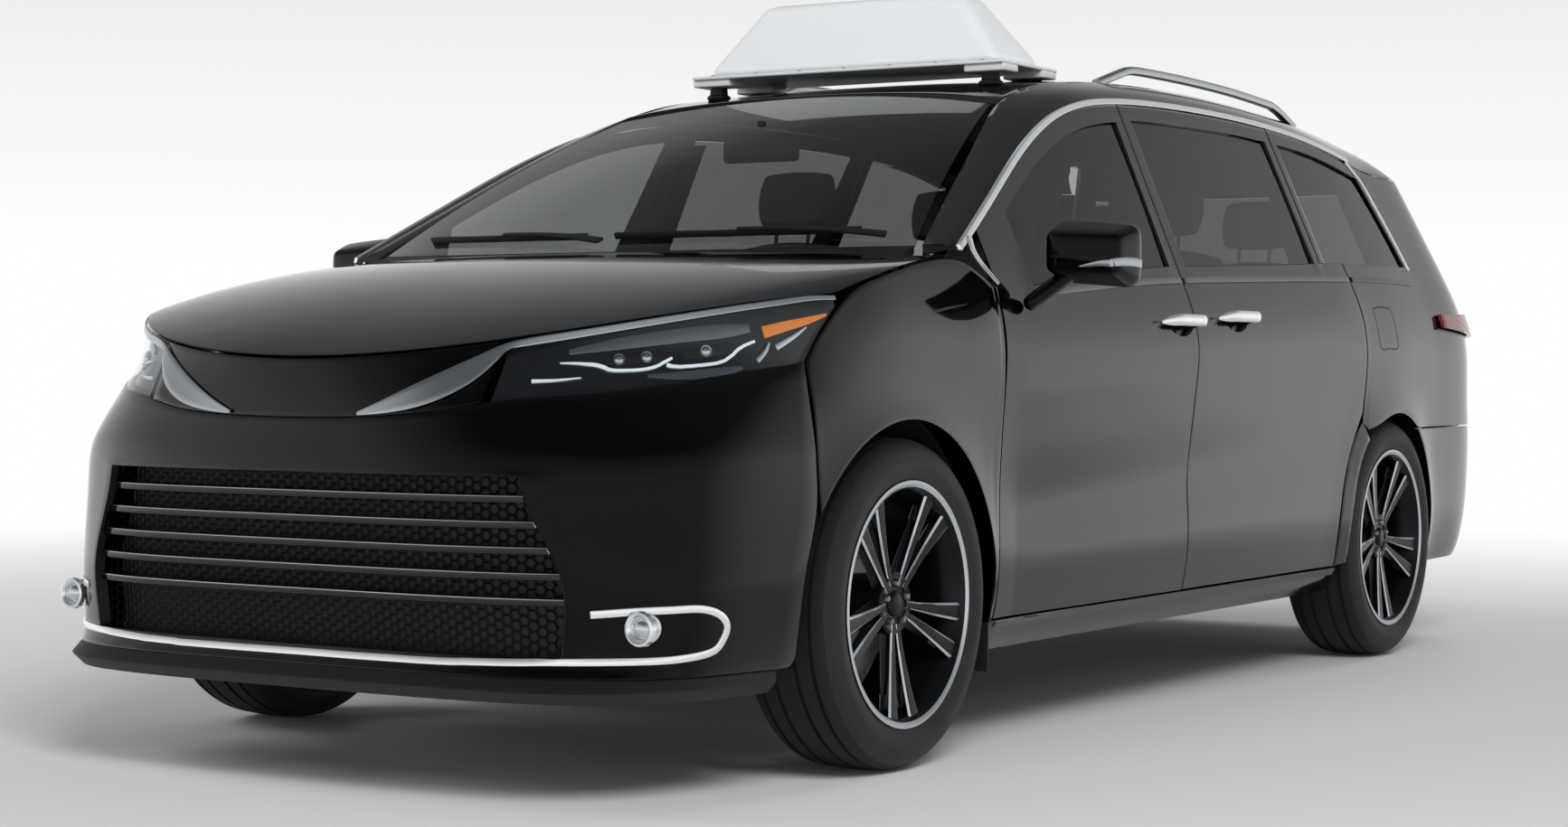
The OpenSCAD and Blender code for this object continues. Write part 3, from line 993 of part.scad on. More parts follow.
// Outline of one blade of a pair: [radius, angle from the pair's middle]
BLADE = [[40, 40], [60, 4], [spoke_r, 10], [spoke_r, 20], [80, 26]];
face_out = 88;                    // outer face of the spokes past the mid plane
module tyre_at(x, y) {
    side = tyre_w / 2;
    r = tyre_d / 2;
    color("#111112") translate([x, y, axle_z]) rotate([0, 90, 0]) rotate_extrude($fn = 96) polygon([
        [rim_r + seat, -side + 26], [rim_r + 14, -side + 10], [rim_r + 50, -side], [r - 38, -side + 5],
            [r - 14, -side + 18],
        [r - 3, -side + 42], [r, 0], [r - 3, side - 42], [r - 14, side - 18], [r - 38, side - 5],
            [rim_r + 50, side],
        [rim_r + 14, side - 10], [rim_r + seat, side - 26]]);
}
module wheel_at(x, y, out) {
    side = tyre_w / 2;
    color("#7b7f83") translate([x, y, axle_z]) rotate([0, out * 90, 0]) difference() {
        union() {
            rotate_extrude($fn = 96) polygon([[rim_r - rim_t, -side + 22], [rim_r + 12, -side + 8],
                [rim_r + 12, -side + 9.4], [rim_r - 0.2, -side + 25], [rim_r - 0.2, side - 25],
                [rim_r + 12, side - 9.4], [rim_r + 12, side - 8], [rim_r - rim_t, side - 22],
                [rim_r - rim_t - 6, side - 40], [rim_r - rim_t - 26, 20], [rim_r - rim_t - 26, -side + 40]]);
            for (i = [0:SPOKES - 1], s = [-1, 1]) rotate(i * 360 / SPOKES)
                translate([0, 0, face_out - 46]) linear_extrude(40)
                    polygon([for (b = BLADE) [b[0] * cos(s * b[1]), b[0] * sin(s * b[1])]]);
            translate([0, 0, -hub_in]) cylinder(r = 62, h = hub_in + face_out - 10);
            translate([0, 0, face_out - 12]) cylinder(r = 70, h = 6);
            translate([0, 0, -hub_in + 26]) cylinder(r = 168, h = 26);
        }
        translate([0, 0, -hub_in - 1]) cylinder(r = spindle_r + run, h = hub_in + spindle_out + 6);
    }
}
module tyre_front_left() { tyre_at(wheel_x, front_axle_y); }
module tyre_front_right() { tyre_at(-wheel_x, front_axle_y); }
module tyre_rear_left() { tyre_at(wheel_x, rear_axle_y); }
module tyre_rear_right() { tyre_at(-wheel_x, rear_axle_y); }
module wheel_front_left() { wheel_at(wheel_x, front_axle_y, 1); }
module wheel_front_right() { wheel_at(-wheel_x, front_axle_y, -1); }
module wheel_rear_left() { wheel_at(wheel_x, rear_axle_y, 1); }
module wheel_rear_right() { wheel_at(-wheel_x, rear_axle_y, -1); }

// Bright trim: strip over the side windows, lower bumper strip and wings on the nose
TRIM_T = 5;
module bright_trim() {
    top_ys = [for (y = [-1300, -1200, -1080, -950, -800, -650, -500, -350, -200, 50, 350, 650, 950, 1250,
        1500, 1640]) py(y)];
    function strip(off) = bumper_grid(STRIP_ROWS, [-8:8], off);
    function over(off) = [for (u = [-11, 1]) [for (y = top_ys)
        side_pt(y, window_top(y) + (u > 0 ? 10 : 1), -off)]];
    color("#d4d7da") {
        on_both_sides() skin(over(TRIM_T), over(4 * seat));
        skin(strip(TRIM_T), strip(seat));
        on_both_sides() skin(wing(TRIM_T), wing(2 * seat));
    }
}
// Wings on the nose panel: [share of the half width, low edge, high edge]
WING = [[0.185, 789, 796], [0.24, 792, 817], [0.3, 799, 845], [0.36, 812, 873], [0.42, 838, 902],
    [0.465, 872, 924]];
WING_BAND = [17, 9];  // height of a wing over the lamp, at its inner and outer end
function wing(off) = let (n = len(WING), m = len(LAMP_COLS))
    [for (u = [0, 1]) [for (j = [0:n + m - 1])
        j < n ? nose_pt(WING[j][0], pz(WING[j][1 + u]), off) :
        let (top = lamp_high(j - n) + shut_gap)
            nose_pt(LAMP_COLS[j - n], top - (1 - u) * mix(WING_BAND[0], WING_BAND[1], (j - n) / (m - 1)),
                off)]];

floor_pan();
side_frames();
quarter_panels();
roof_panel();
fenders();
wheel_houses();
front_bumper();
grille();
bumper_lip();
bright_trim();
nose_panel();
headlamps();
fog_lamps();
windshield();
cowl();
sliding_doors();
side_glass();
rear_bumper();
tail_lamps();
roof_rails();
roof_sign();
sign_base();
dashboard();
steering_wheel();
front_seats();
rear_seats();
engine_block();
exhaust();
fuel_tank();
front_subframe();
rear_axle();
mud_flaps();
door_left();
door_glass_left();
mirror_left();
door_right();
door_glass_right();
mirror_right();
hood();
liftgate();
liftgate_glass();
knuckle_left();
knuckle_right();
tyre_front_left();
wheel_front_left();
tyre_front_right();
wheel_front_right();
tyre_rear_left();
wheel_rear_left();
tyre_rear_right();
wheel_rear_right();
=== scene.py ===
from math import cos, pi, radians, sin, sqrt

import bpy
from mathutils import Matrix, Vector


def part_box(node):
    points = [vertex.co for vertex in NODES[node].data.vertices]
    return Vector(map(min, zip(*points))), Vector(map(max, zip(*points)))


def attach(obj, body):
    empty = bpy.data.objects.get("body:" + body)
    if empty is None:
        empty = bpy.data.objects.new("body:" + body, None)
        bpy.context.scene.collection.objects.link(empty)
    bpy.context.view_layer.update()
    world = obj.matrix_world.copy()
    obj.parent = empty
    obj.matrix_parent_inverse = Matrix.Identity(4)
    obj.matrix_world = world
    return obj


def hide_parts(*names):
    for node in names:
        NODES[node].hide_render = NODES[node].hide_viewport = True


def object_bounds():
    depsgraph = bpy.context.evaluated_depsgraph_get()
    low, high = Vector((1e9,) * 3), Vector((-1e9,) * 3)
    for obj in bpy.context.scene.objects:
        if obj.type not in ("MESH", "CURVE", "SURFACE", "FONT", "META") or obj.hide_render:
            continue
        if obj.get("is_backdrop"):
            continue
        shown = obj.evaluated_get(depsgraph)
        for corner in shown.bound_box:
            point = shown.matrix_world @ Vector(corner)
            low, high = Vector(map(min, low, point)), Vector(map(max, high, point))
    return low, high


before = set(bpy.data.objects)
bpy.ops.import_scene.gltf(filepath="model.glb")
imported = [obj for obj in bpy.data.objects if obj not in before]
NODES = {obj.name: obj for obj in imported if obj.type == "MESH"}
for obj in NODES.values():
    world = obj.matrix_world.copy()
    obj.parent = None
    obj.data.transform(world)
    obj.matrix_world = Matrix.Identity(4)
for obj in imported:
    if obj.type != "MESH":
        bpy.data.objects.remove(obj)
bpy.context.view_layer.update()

# left and right side with the sign of their X
SIDES = (("left", 1), ("right", -1))
# the wheels' centres, in metres
TRACK, AXLE_Z = 0.853, 0.37
FRONT_AXLE, REAR_AXLE = -1.622, 1.439
# edges sharper than this stay crisp when a panel is rounded, in degrees
CREASE = 34
# round of the edges of small strips, in metres
EDGE = 0.002


# Colours and materials

def linear(code):
    """Linear colour of an sRGB hex code."""
    parts = [int(code[i:i + 2], 16) / 255 for i in (1, 3, 5)]
    return tuple(c / 12.92 if c <= 0.04045 else ((c + 0.055) / 1.055) ** 2.4
                 for c in parts) + (1,)


def add(tree, kind, links=(), **settings):
    """Adds a shader node, sets its sockets and properties and links (output, socket) pairs to it."""
    node = tree.nodes.new(kind)
    for key, value in settings.items():
        if key in node.inputs:
            node.inputs[key].default_value = value
        else:
            setattr(node, key, value)
    for out, socket in links:
        tree.links.new(out, node.inputs[socket])
    return node


def material(name, base, **sockets):
    """A plain principled material; names of sockets are written with underscores for spaces."""
    made = bpy.data.materials.new(name)
    made.use_nodes = True
    shader = made.node_tree.nodes["Principled BSDF"]
    shader.inputs["Base Color"].default_value = linear(base)
    for key, value in sockets.items():
        shader.inputs[key.replace("_", " ")].default_value = value
    return made


def grain(made, scale, strength, distance=0.001, kind="ShaderNodeTexNoise"):
    """Fine relief on object coordinates."""
    tree = made.node_tree
    place = add(tree, "ShaderNodeTexCoord")
    noise = add(tree, kind, [(place.outputs["Object"], "Vector")], Scale=scale)
    bump = add(tree, "ShaderNodeBump", [(noise.outputs[0], "Height")],
               Strength=strength, Distance=distance)
    tree.links.new(bump.outputs["Normal"], tree.nodes["Principled BSDF"].inputs["Normal"])
    return made


def mottle(made, scale, low, high):
    """Lets the roughness wander between two limits, as wear and handling do."""
    tree = made.node_tree
    place = add(tree, "ShaderNodeTexCoord")
    noise = add(tree, "ShaderNodeTexNoise", [(place.outputs["Object"], "Vector")],
                Scale=scale, Detail=3.0)
    spread = add(tree, "ShaderNodeMapRange", [(noise.outputs[0], "Value")],
                 **{"To Min": low, "To Max": high})
    tree.links.new(spread.outputs["Result"], tree.nodes["Principled BSDF"].inputs["Roughness"])
    return made


def tread(made):
    """Slanted sipes across the running face; UV runs round and across the tyre."""
    tree = made.node_tree
    place = add(tree, "ShaderNodeTexCoord")
    parts = add(tree, "ShaderNodeSeparateXYZ", [(place.outputs["UV"], "Vector")])
    skew = add(tree, "ShaderNodeMath", [(parts.outputs["Y"], 0)], operation="MULTIPLY")
    skew.inputs[1].default_value = 9
    turns = add(tree, "ShaderNodeMath", [(parts.outputs["X"], 0), (skew.outputs[0], 2)],
                operation="MULTIPLY_ADD")
    turns.inputs[1].default_value = 72
    share = add(tree, "ShaderNodeMath", [(turns.outputs[0], 0)], operation="FRACT")
    sipe = add(tree, "ShaderNodeMath", [(share.outputs[0], 0)], operation="GREATER_THAN")
    sipe.inputs[1].default_value = 0.16
    bump = add(tree, "ShaderNodeBump", [(sipe.outputs[0], "Height")], Strength=0.9, Distance=0.004)
    tree.links.new(bump.outputs["Normal"], tree.nodes["Principled BSDF"].inputs["Normal"])
    return made


def lacquer(made, straight, slant):
    """Lets a skin mirror little where it is seen straight on, and more towards its edges."""
    tree = made.node_tree
    turned = add(tree, "ShaderNodeLayerWeight", Blend=0.5)
    spread = add(tree, "ShaderNodeMapRange", [(turned.outputs["Facing"], "Value")],
                 **{"From Min": 0.12, "From Max": 0.5, "To Min": straight, "To Max": slant})
    tree.links.new(spread.outputs["Result"], tree.nodes["Principled BSDF"].inputs["Specular IOR Level"])
    return made


def glass(name, tint, see):
    """A thin pane: light goes through unbent, and the face that looks out mirrors a part of it."""
    made = bpy.data.materials.new(name)
    made.use_nodes = True
    tree = made.node_tree
    tree.nodes.remove(tree.nodes["Principled BSDF"])
    through = add(tree, "ShaderNodeBsdfTransparent", Color=linear(tint))
    shine = add(tree, "ShaderNodeBsdfGlossy", Roughness=0.015, Color=(1, 1, 1, 1))
    edge = add(tree, "ShaderNodeFresnel", IOR=1.4)
    behind = add(tree, "ShaderNodeNewGeometry")
    front = add(tree, "ShaderNodeMath", [(behind.outputs["Backfacing"], 1)], operation="SUBTRACT")
    front.inputs[0].default_value = 1
    share = add(tree, "ShaderNodeMath", [(edge.outputs[0], 0), (front.outputs[0], 1)],
                operation="MULTIPLY")
    mixed = add(tree, "ShaderNodeMixShader",
                [(share.outputs[0], 0), (through.outputs[0], 1), (shine.outputs[0], 2)])
    tree.links.new(mixed.outputs[0], tree.nodes["Material Output"].inputs["Surface"])
    made.diffuse_color = linear(tint)[:3] + (see,)
    return made


# gloss black lacquer: deep black that mirrors the room in a clean, hard skin
PAINT = lacquer(material("black_lacquer", "#040405", Roughness=0.05), 0.14, 0.8)
# polished bright trim: pale, nearly white lines on the black body
CHROME = material("bright_chrome", "#f2f4f6", Metallic=0.85, Roughness=0.16)
# satin silver of the roof rails, wings and the mirrors' strips
SATIN = mottle(material("satin_aluminium", "#b4b8bc", Metallic=1.0, Roughness=0.3), 9, 0.22, 0.32)
# dark moulded plastic with a fine leather grain, dull where the lacquer shines
PLASTIC = grain(material("black_plastic", "#131416", Roughness=0.55), 900, 0.25, 0.0004)
# grey plastic of the strip along the sill, with a fine grain
GREY = grain(material("grey_plastic", "#54575a", Roughness=0.5), 900, 0.2, 0.0004)
# glossy black plastic of the grille bars, rear mouldings and tailgate garnish
GLOSS = material("piano_black", "#0b0c0e", Roughness=0.1)
# dark under-seal, matt and pebbled as it is sprayed on
UNDER = grain(material("under_seal", "#141516", Roughness=0.85), 160, 0.4, 0.002)
# tyre rubber, matt and slightly grey; the walls are smoother than the running face
RUBBER = tread(material("tyre_tread", "#161617", Roughness=0.8))
WALL = mottle(material("tyre_wall", "#1b1b1c", Roughness=0.62), 14, 0.56, 0.7)
# wiper and seal rubber, dull black
SEAL = material("seal_rubber", "#0c0c0d", Roughness=0.6)
# cast and machined metals of the running gear, rough and half bright
CAST = grain(material("cast_iron", "#4d4f52", Metallic=0.6, Roughness=0.6), 240, 0.35, 0.001)
STEEL = mottle(material("plain_steel", "#8b8a86", Metallic=1.0, Roughness=0.4), 20, 0.3, 0.48)
# dark metallic lacquer of the wheels with a soft shine
ALLOY = material("graphite_alloy", "#191a1d", Metallic=0.7, Roughness=0.28)
# bare turned edges of spokes and rims, bright lines round the dark wheel
TURNED = material("turned_alloy", "#d2d6da", Metallic=0.85, Roughness=0.36)
# seat leather with a soft grain
LEATHER = grain(mottle(material("seat_leather", "#4a4541", Roughness=0.5), 12, 0.42, 0.56),
                420, 0.3, 0.0006, "ShaderNodeTexVoronoi")
# pale cloth of the roof lining
LINING = grain(material("roof_cloth", "#8d8b87", Roughness=0.95), 700, 0.4, 0.001)
# carpet, dark and without any shine
CARPET = grain(material("carpet", "#1d1d1f", Roughness=0.95), 600, 0.8, 0.002)
# white acrylic of the sign, milky so that light wanders in it
ACRYLIC = material("white_acrylic", "#eef0f2", Roughness=0.25, Subsurface_Weight=0.3,
                   Subsurface_Radius=(0.02, 0.02, 0.02))
# white lacquered plates, cooler and duller than the sign
PLATE = material("white_lacquer", "#dfe1e3", Roughness=0.35)
# red lens with fine upright ribs
RED = grain(material("red_lens", "#7a0810", Roughness=0.1, Coat_Weight=0.5, Coat_Roughness=0.02),
            38, 0.5, 0.002, "ShaderNodeTexWave")
# amber lens of the side marker, glossy and deep
AMBER = material("amber_lens", "#d9781a", Roughness=0.12, Coat_Weight=0.5)
# white light guide in the headlamps, unlit
GUIDE = material("light_guide", "#e9edf0", Roughness=0.2)
# vacuum-coated reflector, a bright soft mirror
REFLECTOR = material("reflector", "#cfd3d6", Metallic=1.0, Roughness=0.12)
# mirror glass, a clean sharp mirror
MIRROR = material("mirror_glass", "#e6e9eb", Metallic=1.0, Roughness=0.01)
# smoked grey trim inside the lamps, between the dark back and the bright guides
SMOKE = material("smoked_trim", "#63676b", Metallic=0.7, Roughness=0.25)
# satin grey foil of the window posts, a shade paler than the panes
POST = material("post_foil", "#6c6f72", Metallic=0.6, Roughness=0.32)
# dark back of the lamps with a faint shine
BEZEL = material("lamp_bezel", "#1b1d20", Roughness=0.22, Metallic=0.4)
# privacy glass of the rear cabin, the lighter front panes and the clear windshield
PRIVACY = glass("privacy_glass", "#b6b7b7", 0.5)
TINTED = glass("tinted_glass", "#c8c9c9", 0.5)
CLEAR = glass("screen_glass", "#d6d7d7", 0.3)
# clear cover of the headlamps, seen only by what it mirrors
LENS = glass("lamp_cover", "#f2f5f7", 0.3)


# Modelling helpers

def only(*objs):
    """Selects these objects alone."""
    bpy.ops.object.select_all(action="DESELECT")
    for o in objs:
        o.select_set(True)
    bpy.context.view_layer.objects.active = objs[0]


def edit(obj, *steps):
    """Runs edit-mode operators on the whole of obj; a step is a function without arguments."""
    only(obj)
    bpy.ops.object.mode_set(mode="EDIT")
    bpy.ops.mesh.select_all(action="SELECT")
    for step in steps:
        step()
    bpy.ops.object.mode_set(mode="OBJECT")


def choose(obj, test, *steps):
    """Runs edit-mode operators on the points for which test(place) holds."""
    edit(obj, lambda: bpy.ops.mesh.select_all(action="DESELECT"))
    for p in obj.data.vertices:
        p.select = test(p.co)
    bpy.ops.object.mode_set(mode="EDIT")
    for step in steps:
        step()
    bpy.ops.object.mode_set(mode="OBJECT")


def modify(obj, kind, **settings):
    """Adds a modifier and applies it."""
    only(obj)
    made = obj.modifiers.new(kind, kind)
    for key, value in settings.items():
        setattr(made, key, value)
    bpy.ops.object.modifier_apply(modifier=made.name)


def dress(obj, *mats):
    """Gives a piece these finishes alone."""
    obj.data.materials.clear()
    for m in mats:
        obj.data.materials.append(m)
    return obj


def done(obj, body, slot, *mats, angle=40):
    """Smooth shading, finishes, and the body that the piece rides."""
    only(obj)
    bpy.ops.object.shade_smooth_by_angle(angle=radians(angle))
    if mats:
        dress(obj, *mats)
    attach(obj, body)
    return obj


def weld():
    """Merges the points that lie on one spot."""
    bpy.ops.mesh.remove_doubles(threshold=0.00002)


def outward():
    """Turns all faces to look out of the piece."""
    bpy.ops.mesh.normals_make_consistent(inside=False)


def facing(obj, index, test):
    """Gives the faces for which test(middle, normal) holds another finish of the object."""
    for face in obj.data.polygons:
        if test(face.center, face.normal):
            face.material_index = index


def copy_of(node, name):
    """A working copy of a CAD node's mesh, with its doubled points merged and its triangles joined."""
    made = NODES[node].copy()
    made.data = NODES[node].data.copy()
    made.name = made.data.name = name
    bpy.context.collection.objects.link(made)
    made.parent = None
    made.matrix_world = Matrix.Identity(4)
    made.hide_render = made.hide_viewport = False
    edit(made, weld, lambda: bpy.ops.mesh.customdata_custom_splitnormals_clear(),
         lambda: bpy.ops.mesh.tris_convert_to_quads(face_threshold=radians(60),
                                                    shape_threshold=radians(70)))
    return made


def crease_sharp():
    bpy.ops.mesh.select_all(action="DESELECT")
    bpy.ops.mesh.select_mode(type="EDGE")
    bpy.ops.mesh.edges_select_sharp(sharpness=radians(CREASE))
    bpy.ops.transform.edge_crease(value=1.0)
    bpy.ops.mesh.select_mode(type="VERT")


def rounded(obj, levels):
    """Rounds a piece by subdivision and keeps its sharp edges crisp."""
    edit(obj, crease_sharp)
    if levels:
        modify(obj, "SUBSURF", levels=levels, render_levels=levels)


def broken(obj, width, segments=2, angle=50, **settings):
    """Breaks the edges of a piece that are sharper than an angle."""
    modify(obj, "BEVEL", width=width, segments=segments, limit_method="ANGLE",
           angle_limit=radians(angle), **settings)


def panel(node, body, slot, *mats, levels=2, edge=0.0022):
    """A pressed panel: the CAD node rounded to a smooth skin with crisp, slightly broken edges."""
    made = copy_of(node, node + "_skin")
    dress(made, *mats)
    rounded(made, levels)
    if edge:
        broken(made, edge)
    done(made, body, slot)
    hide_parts(node)
    return made


def new(name):
    """The piece that was just added, under its own name."""
    made = bpy.context.object
    made.name = made.data.name = name
    return made


def sheet(name, cols, rows, place):
    """A grid whose points place(u, v) sets in space; u and v run from 0 to 1."""
    bpy.ops.mesh.primitive_grid_add(x_subdivisions=cols, y_subdivisions=rows, size=1)
    made = new(name)
    for p in made.data.vertices:
        p.co = place(p.co.x + 0.5, p.co.y + 0.5)
    return made


def along(points, u):
    """Smooth curve through points; u runs from 0 to 1."""
    n = len(points) - 1
    i = min(int(u * n), n - 1)
    t = u * n - i
    a, b, c, d = (Vector(points[min(max(k, 0), n)]) for k in (i - 1, i, i + 1, i + 2))
    return 0.5 * (2 * b + (c - a) * t + (2 * a - 5 * b + 4 * c - d) * t * t
                  + (3 * b - a - 3 * c + d) * t ** 3)


def across(points, sign):
    """The same points on the side of the vehicle that sign gives."""
    return [(sign * x, y, z) for x, y, z in points]


def ribbon(name, skin, points, width, thick, cols=48, lift=-0.0004, edge=0.0008):
    """A strip that follows a panel's skin along points; width is one size or one for each point."""
    sizes = width if isinstance(width, list) else [width] * len(points)
    widths = [(size, 0, 0) for size in sizes]

    def place(u, v):
        ahead = along(points, min(u + 0.006, 1)) - along(points, max(u - 0.006, 0))
        _, spot, normal, _ = skin.closest_point_on_mesh(along(points, u))
        side = normal.cross(ahead).normalized()
        _, spot, normal, _ = skin.closest_point_on_mesh(spot + side * (v - 0.5) * along(widths, u)[0])
        return spot + normal * lift

    made = sheet(name, cols, 2, place)
    modify(made, "SOLIDIFY", thickness=thick, offset=1)
    broken(made, edge)
    return made


def block(name, low, high, edge, segments=3):
    """A box between two corners with rounded edges."""
    low, high = Vector(low), Vector(high)
    bpy.ops.mesh.primitive_cube_add(size=1)
    made = new(name)
    for p in made.data.vertices:
        p.co = (low + high) / 2 + Vector(a * b for a, b in zip(p.co, high - low))
    modify(made, "BEVEL", width=edge, segments=segments)
    return made


def ring(name, profile, steps=72, middle=(0, 0, 0)):
    """A piece turned about an axis along X; rows of its profile are (radius, place along the axis)."""
    n = len(profile) - 1

    def place(u, v):
        r, x = profile[round(v * n)]
        return Vector(middle) + Vector((x, r * cos(2 * pi * u), r * sin(2 * pi * u)))

    made = sheet(name, steps, n, place)
    edit(made, weld, outward)
    return made


def again(obj, name, matrix, flip=False):
    """A copy with its own mesh, moved by a matrix."""
    made = obj.copy()
    made.data = obj.data.copy()
    made.name = made.data.name = name
    bpy.context.collection.objects.link(made)
    made.parent = None
    made.matrix_world = Matrix.Identity(4)
    made.data.transform(matrix)
    if flip:
        made.data.flip_normals()
    return made


MIRRORED = Matrix.Diagonal((-1, 1, 1, 1))


def twin(obj, name, body):
    """The same piece on the other side of the vehicle."""
    made = again(obj, name, MIRRORED, True)
    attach(made, body)
    return made


def join(name, *objs):
    """One piece out of several."""
    only(*objs)
    bpy.ops.object.join()
    return new(name)


# Body panels

def inward(middle, normal):
    """Faces that look into the vehicle."""
    return normal.x * middle.x < -0.2 * abs(middle.x)


def window_side(middle, normal):
    """Faces that look into the vehicle, and the ledges round its windows."""
    ledge = 1.04 < middle.z < 1.57 and -1.1 < middle.y < 1.6 and abs(normal.x) < 0.5
    return ledge or inward(middle, normal)


def downward(middle, normal):
    """Faces that look down."""
    return normal.z < -0.25


SKINS = {}
for node in ("fenders", "front_bumper", "nose_panel", "rear_bumper"):
    SKINS[node] = panel(node, "body", "body_paint", PAINT)
for node in ("quarter_panels", "sliding_doors"):
    SKINS[node] = panel(node, "body", "body_paint", PAINT, PLASTIC)
    facing(SKINS[node], 1, window_side)
SKINS["side_frames"] = panel("side_frames", "body", "body_paint", PAINT, PLASTIC)
facing(SKINS["side_frames"], 1, inward)
SKINS["roof_panel"] = panel("roof_panel", "body", "body_paint", PAINT, LINING)
facing(SKINS["roof_panel"], 1, downward)
SKINS["hood"] = panel("hood", "hood", "body_paint", PAINT, UNDER)
facing(SKINS["hood"], 1, downward)
SKINS["liftgate"] = panel("liftgate", "liftgate", "body_paint", PAINT, PLASTIC)
facing(SKINS["liftgate"], 1, lambda middle, normal: normal.y < -0.25)
for side, _ in SIDES:
    body = "door_" + side
    SKINS[body] = panel(body, body, "body_paint", PAINT, PLASTIC)
    facing(SKINS[body], 1, window_side)
    mirror = "mirror_" + side
    SKINS[mirror] = panel(mirror, body, "body_paint", PAINT, levels=1, edge=0)
    panel("door_glass_" + side, body, "tinted_glass", TINTED, edge=0)
SKINS["liftgate_glass"] = panel("liftgate_glass", "liftgate", "tinted_glass", PRIVACY, edge=0)
panel("side_glass", "body", "tinted_glass", PRIVACY, edge=0)
SKINS["windshield"] = panel("windshield", "body", "tinted_glass", CLEAR, edge=0)
panel("bumper_lip", "body", "black_plastic", PLASTIC)
SKINS["headlamps"] = panel("headlamps", "body", "lamp_clear", LENS, edge=0)
SKINS["tail_lamps"] = panel("tail_lamps", "body", "lamp_red", RED, edge=0.001)
panel("cowl", "body", "black_plastic", PLASTIC, edge=0.001)
# plain solids, of which only the edges are broken
for node, slot, mat, edge in (("fog_lamps", "lamp_clear", REFLECTOR, 0.0015),
                              ("mud_flaps", "black_plastic", PLASTIC, 0.002),
                              ("steering_wheel", "wheel_leather", PLASTIC, 0.003),
                              ("dashboard", "black_plastic", PLASTIC, 0.012),
                              ("engine_block", "cast_metal", CAST, 0.008),
                              ("exhaust", "exhaust_steel", CAST, 0.006),
                              ("fuel_tank", "black_plastic", UNDER, 0.01),
                              ("front_subframe", "underbody", UNDER, 0.004),
                              ("rear_axle", "underbody", UNDER, 0.004)):
    panel(node, "body", slot, mat, levels=0, edge=edge)
# these are seen little and keep the CAD's own mesh
for node, mat in (("floor_pan", CARPET), ("wheel_houses", UNDER),
                  ("knuckle_left", CAST), ("knuckle_right", CAST)):
    dress(NODES[node], mat)


# Grille: five gloss bars with bright edges before an open mesh

grille = copy_of("grille", "grille_bars")
only(grille)
bpy.ops.object.mode_set(mode="EDIT")
bpy.ops.mesh.separate(type="LOOSE")
bpy.ops.object.mode_set(mode="OBJECT")


def tallness(obj):
    """Height of a piece from its lowest to its highest point."""
    heights = [p.co.z for p in obj.data.vertices]
    return max(heights) - min(heights)


# the plate behind the bars is the tallest of the grille's pieces
*loose_bars, back_plate = sorted(bpy.context.selected_objects, key=tallness)
for loose in loose_bars:
    rounded(loose, 1)
    dress(loose, GLOSS, SATIN)
    broken(loose, 0.0026, material=1)
    facing(loose, 0, lambda middle, normal: normal.z < 0.15)
bars = join("grille_bars", *loose_bars)
done(bars, "body", "black_plastic")
rounded(back_plate, 1)
back_plate.name = back_plate.data.name = "grille_plate"
done(back_plate, "body", "black_plastic", SEAL)
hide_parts("grille")

# hexagons side by side, copied over the opening and drawn out to thin walls
CELL, MESH_GAP = 0.0125, 0.013
bpy.ops.mesh.primitive_circle_add(vertices=6, radius=CELL, fill_type="NGON")
mesh = new("grille_mesh")
mesh.data.transform(Matrix.Rotation(radians(90), 4, "X") @ Matrix.Rotation(radians(30), 4, "Z"))
other = again(mesh, "cell", Matrix.Translation((1.5 * CELL, 0, sqrt(0.75) * CELL)))
mesh = join("grille_mesh", mesh, other)
for count, step in ((36, (3 * CELL, 0, 0)), (17, (0, 0, 2 * sqrt(0.75) * CELL))):
    modify(mesh, "ARRAY", count=count, use_relative_offset=False, use_constant_offset=True,
           constant_offset_displace=step, use_merge_vertices=True, merge_threshold=0.0005)
mesh.data.transform(Matrix.Translation((-17.75 * 3 * CELL, 0, 0.308)))
for p in mesh.data.vertices:
    hit, spot, _, _ = back_plate.ray_cast(Vector((p.co.x, -2.0, p.co.z)), Vector((0, -1, 0)))
    p.co.y = (spot.y if hit else -2.4) - MESH_GAP
modify(mesh, "WIREFRAME", thickness=0.0045, use_even_offset=False)
done(mesh, "body", "black_plastic", SEAL)


# Bright trim: strips over the windows, wings on the nose, lower bumper strip with its hooked ends

trim = copy_of("bright_trim", "bright_trim_skin")
choose(trim, lambda place: place.y > -1.4 and place.z > 0.9,
       lambda: bpy.ops.transform.shrink_fatten(value=0.005))
rounded(trim, 2)
dress(trim, CHROME, SATIN)
facing(trim, 1, lambda middle, normal: middle.z > 0.7 and middle.y < -1.75)
choose(trim, lambda place: place.z < 0.5, lambda: bpy.ops.mesh.delete(type="VERT"))
broken(trim, 0.001)
done(trim, "body", "bright_metal")
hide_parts("bright_trim")

HOOK = [(0.70, -2.46, 0.394), (0.77, -2.41, 0.4), (0.82, -2.356, 0.402), (0.856, -2.296, 0.402),
        (0.873, -2.255, 0.389), (0.879, -2.236, 0.366), (0.875, -2.241, 0.340), (0.862, -2.264, 0.314),
        (0.83, -2.33, 0.302), (0.77, -2.406, 0.299), (0.6, -2.5, 0.296), (0.4, -2.55, 0.294),
        (0.2, -2.56, 0.293), (0, -2.56, 0.293)]
strip = ribbon("lower_strip", SKINS["front_bumper"], HOOK + across(HOOK[-2::-1], -1), 0.016, 0.006,
               cols=240, edge=0.0016)
done(strip, "body", "bright_metal", CHROME)


def set_on(obj, skin, near):
    """Stands a turned piece on a skin, with its axis along the skin's normal."""
    _, spot, normal, _ = skin.closest_point_on_mesh(Vector(near))
    obj.data.transform(Matrix.Translation(spot) @ normal.to_track_quat("X", "Z").to_matrix().to_4x4())


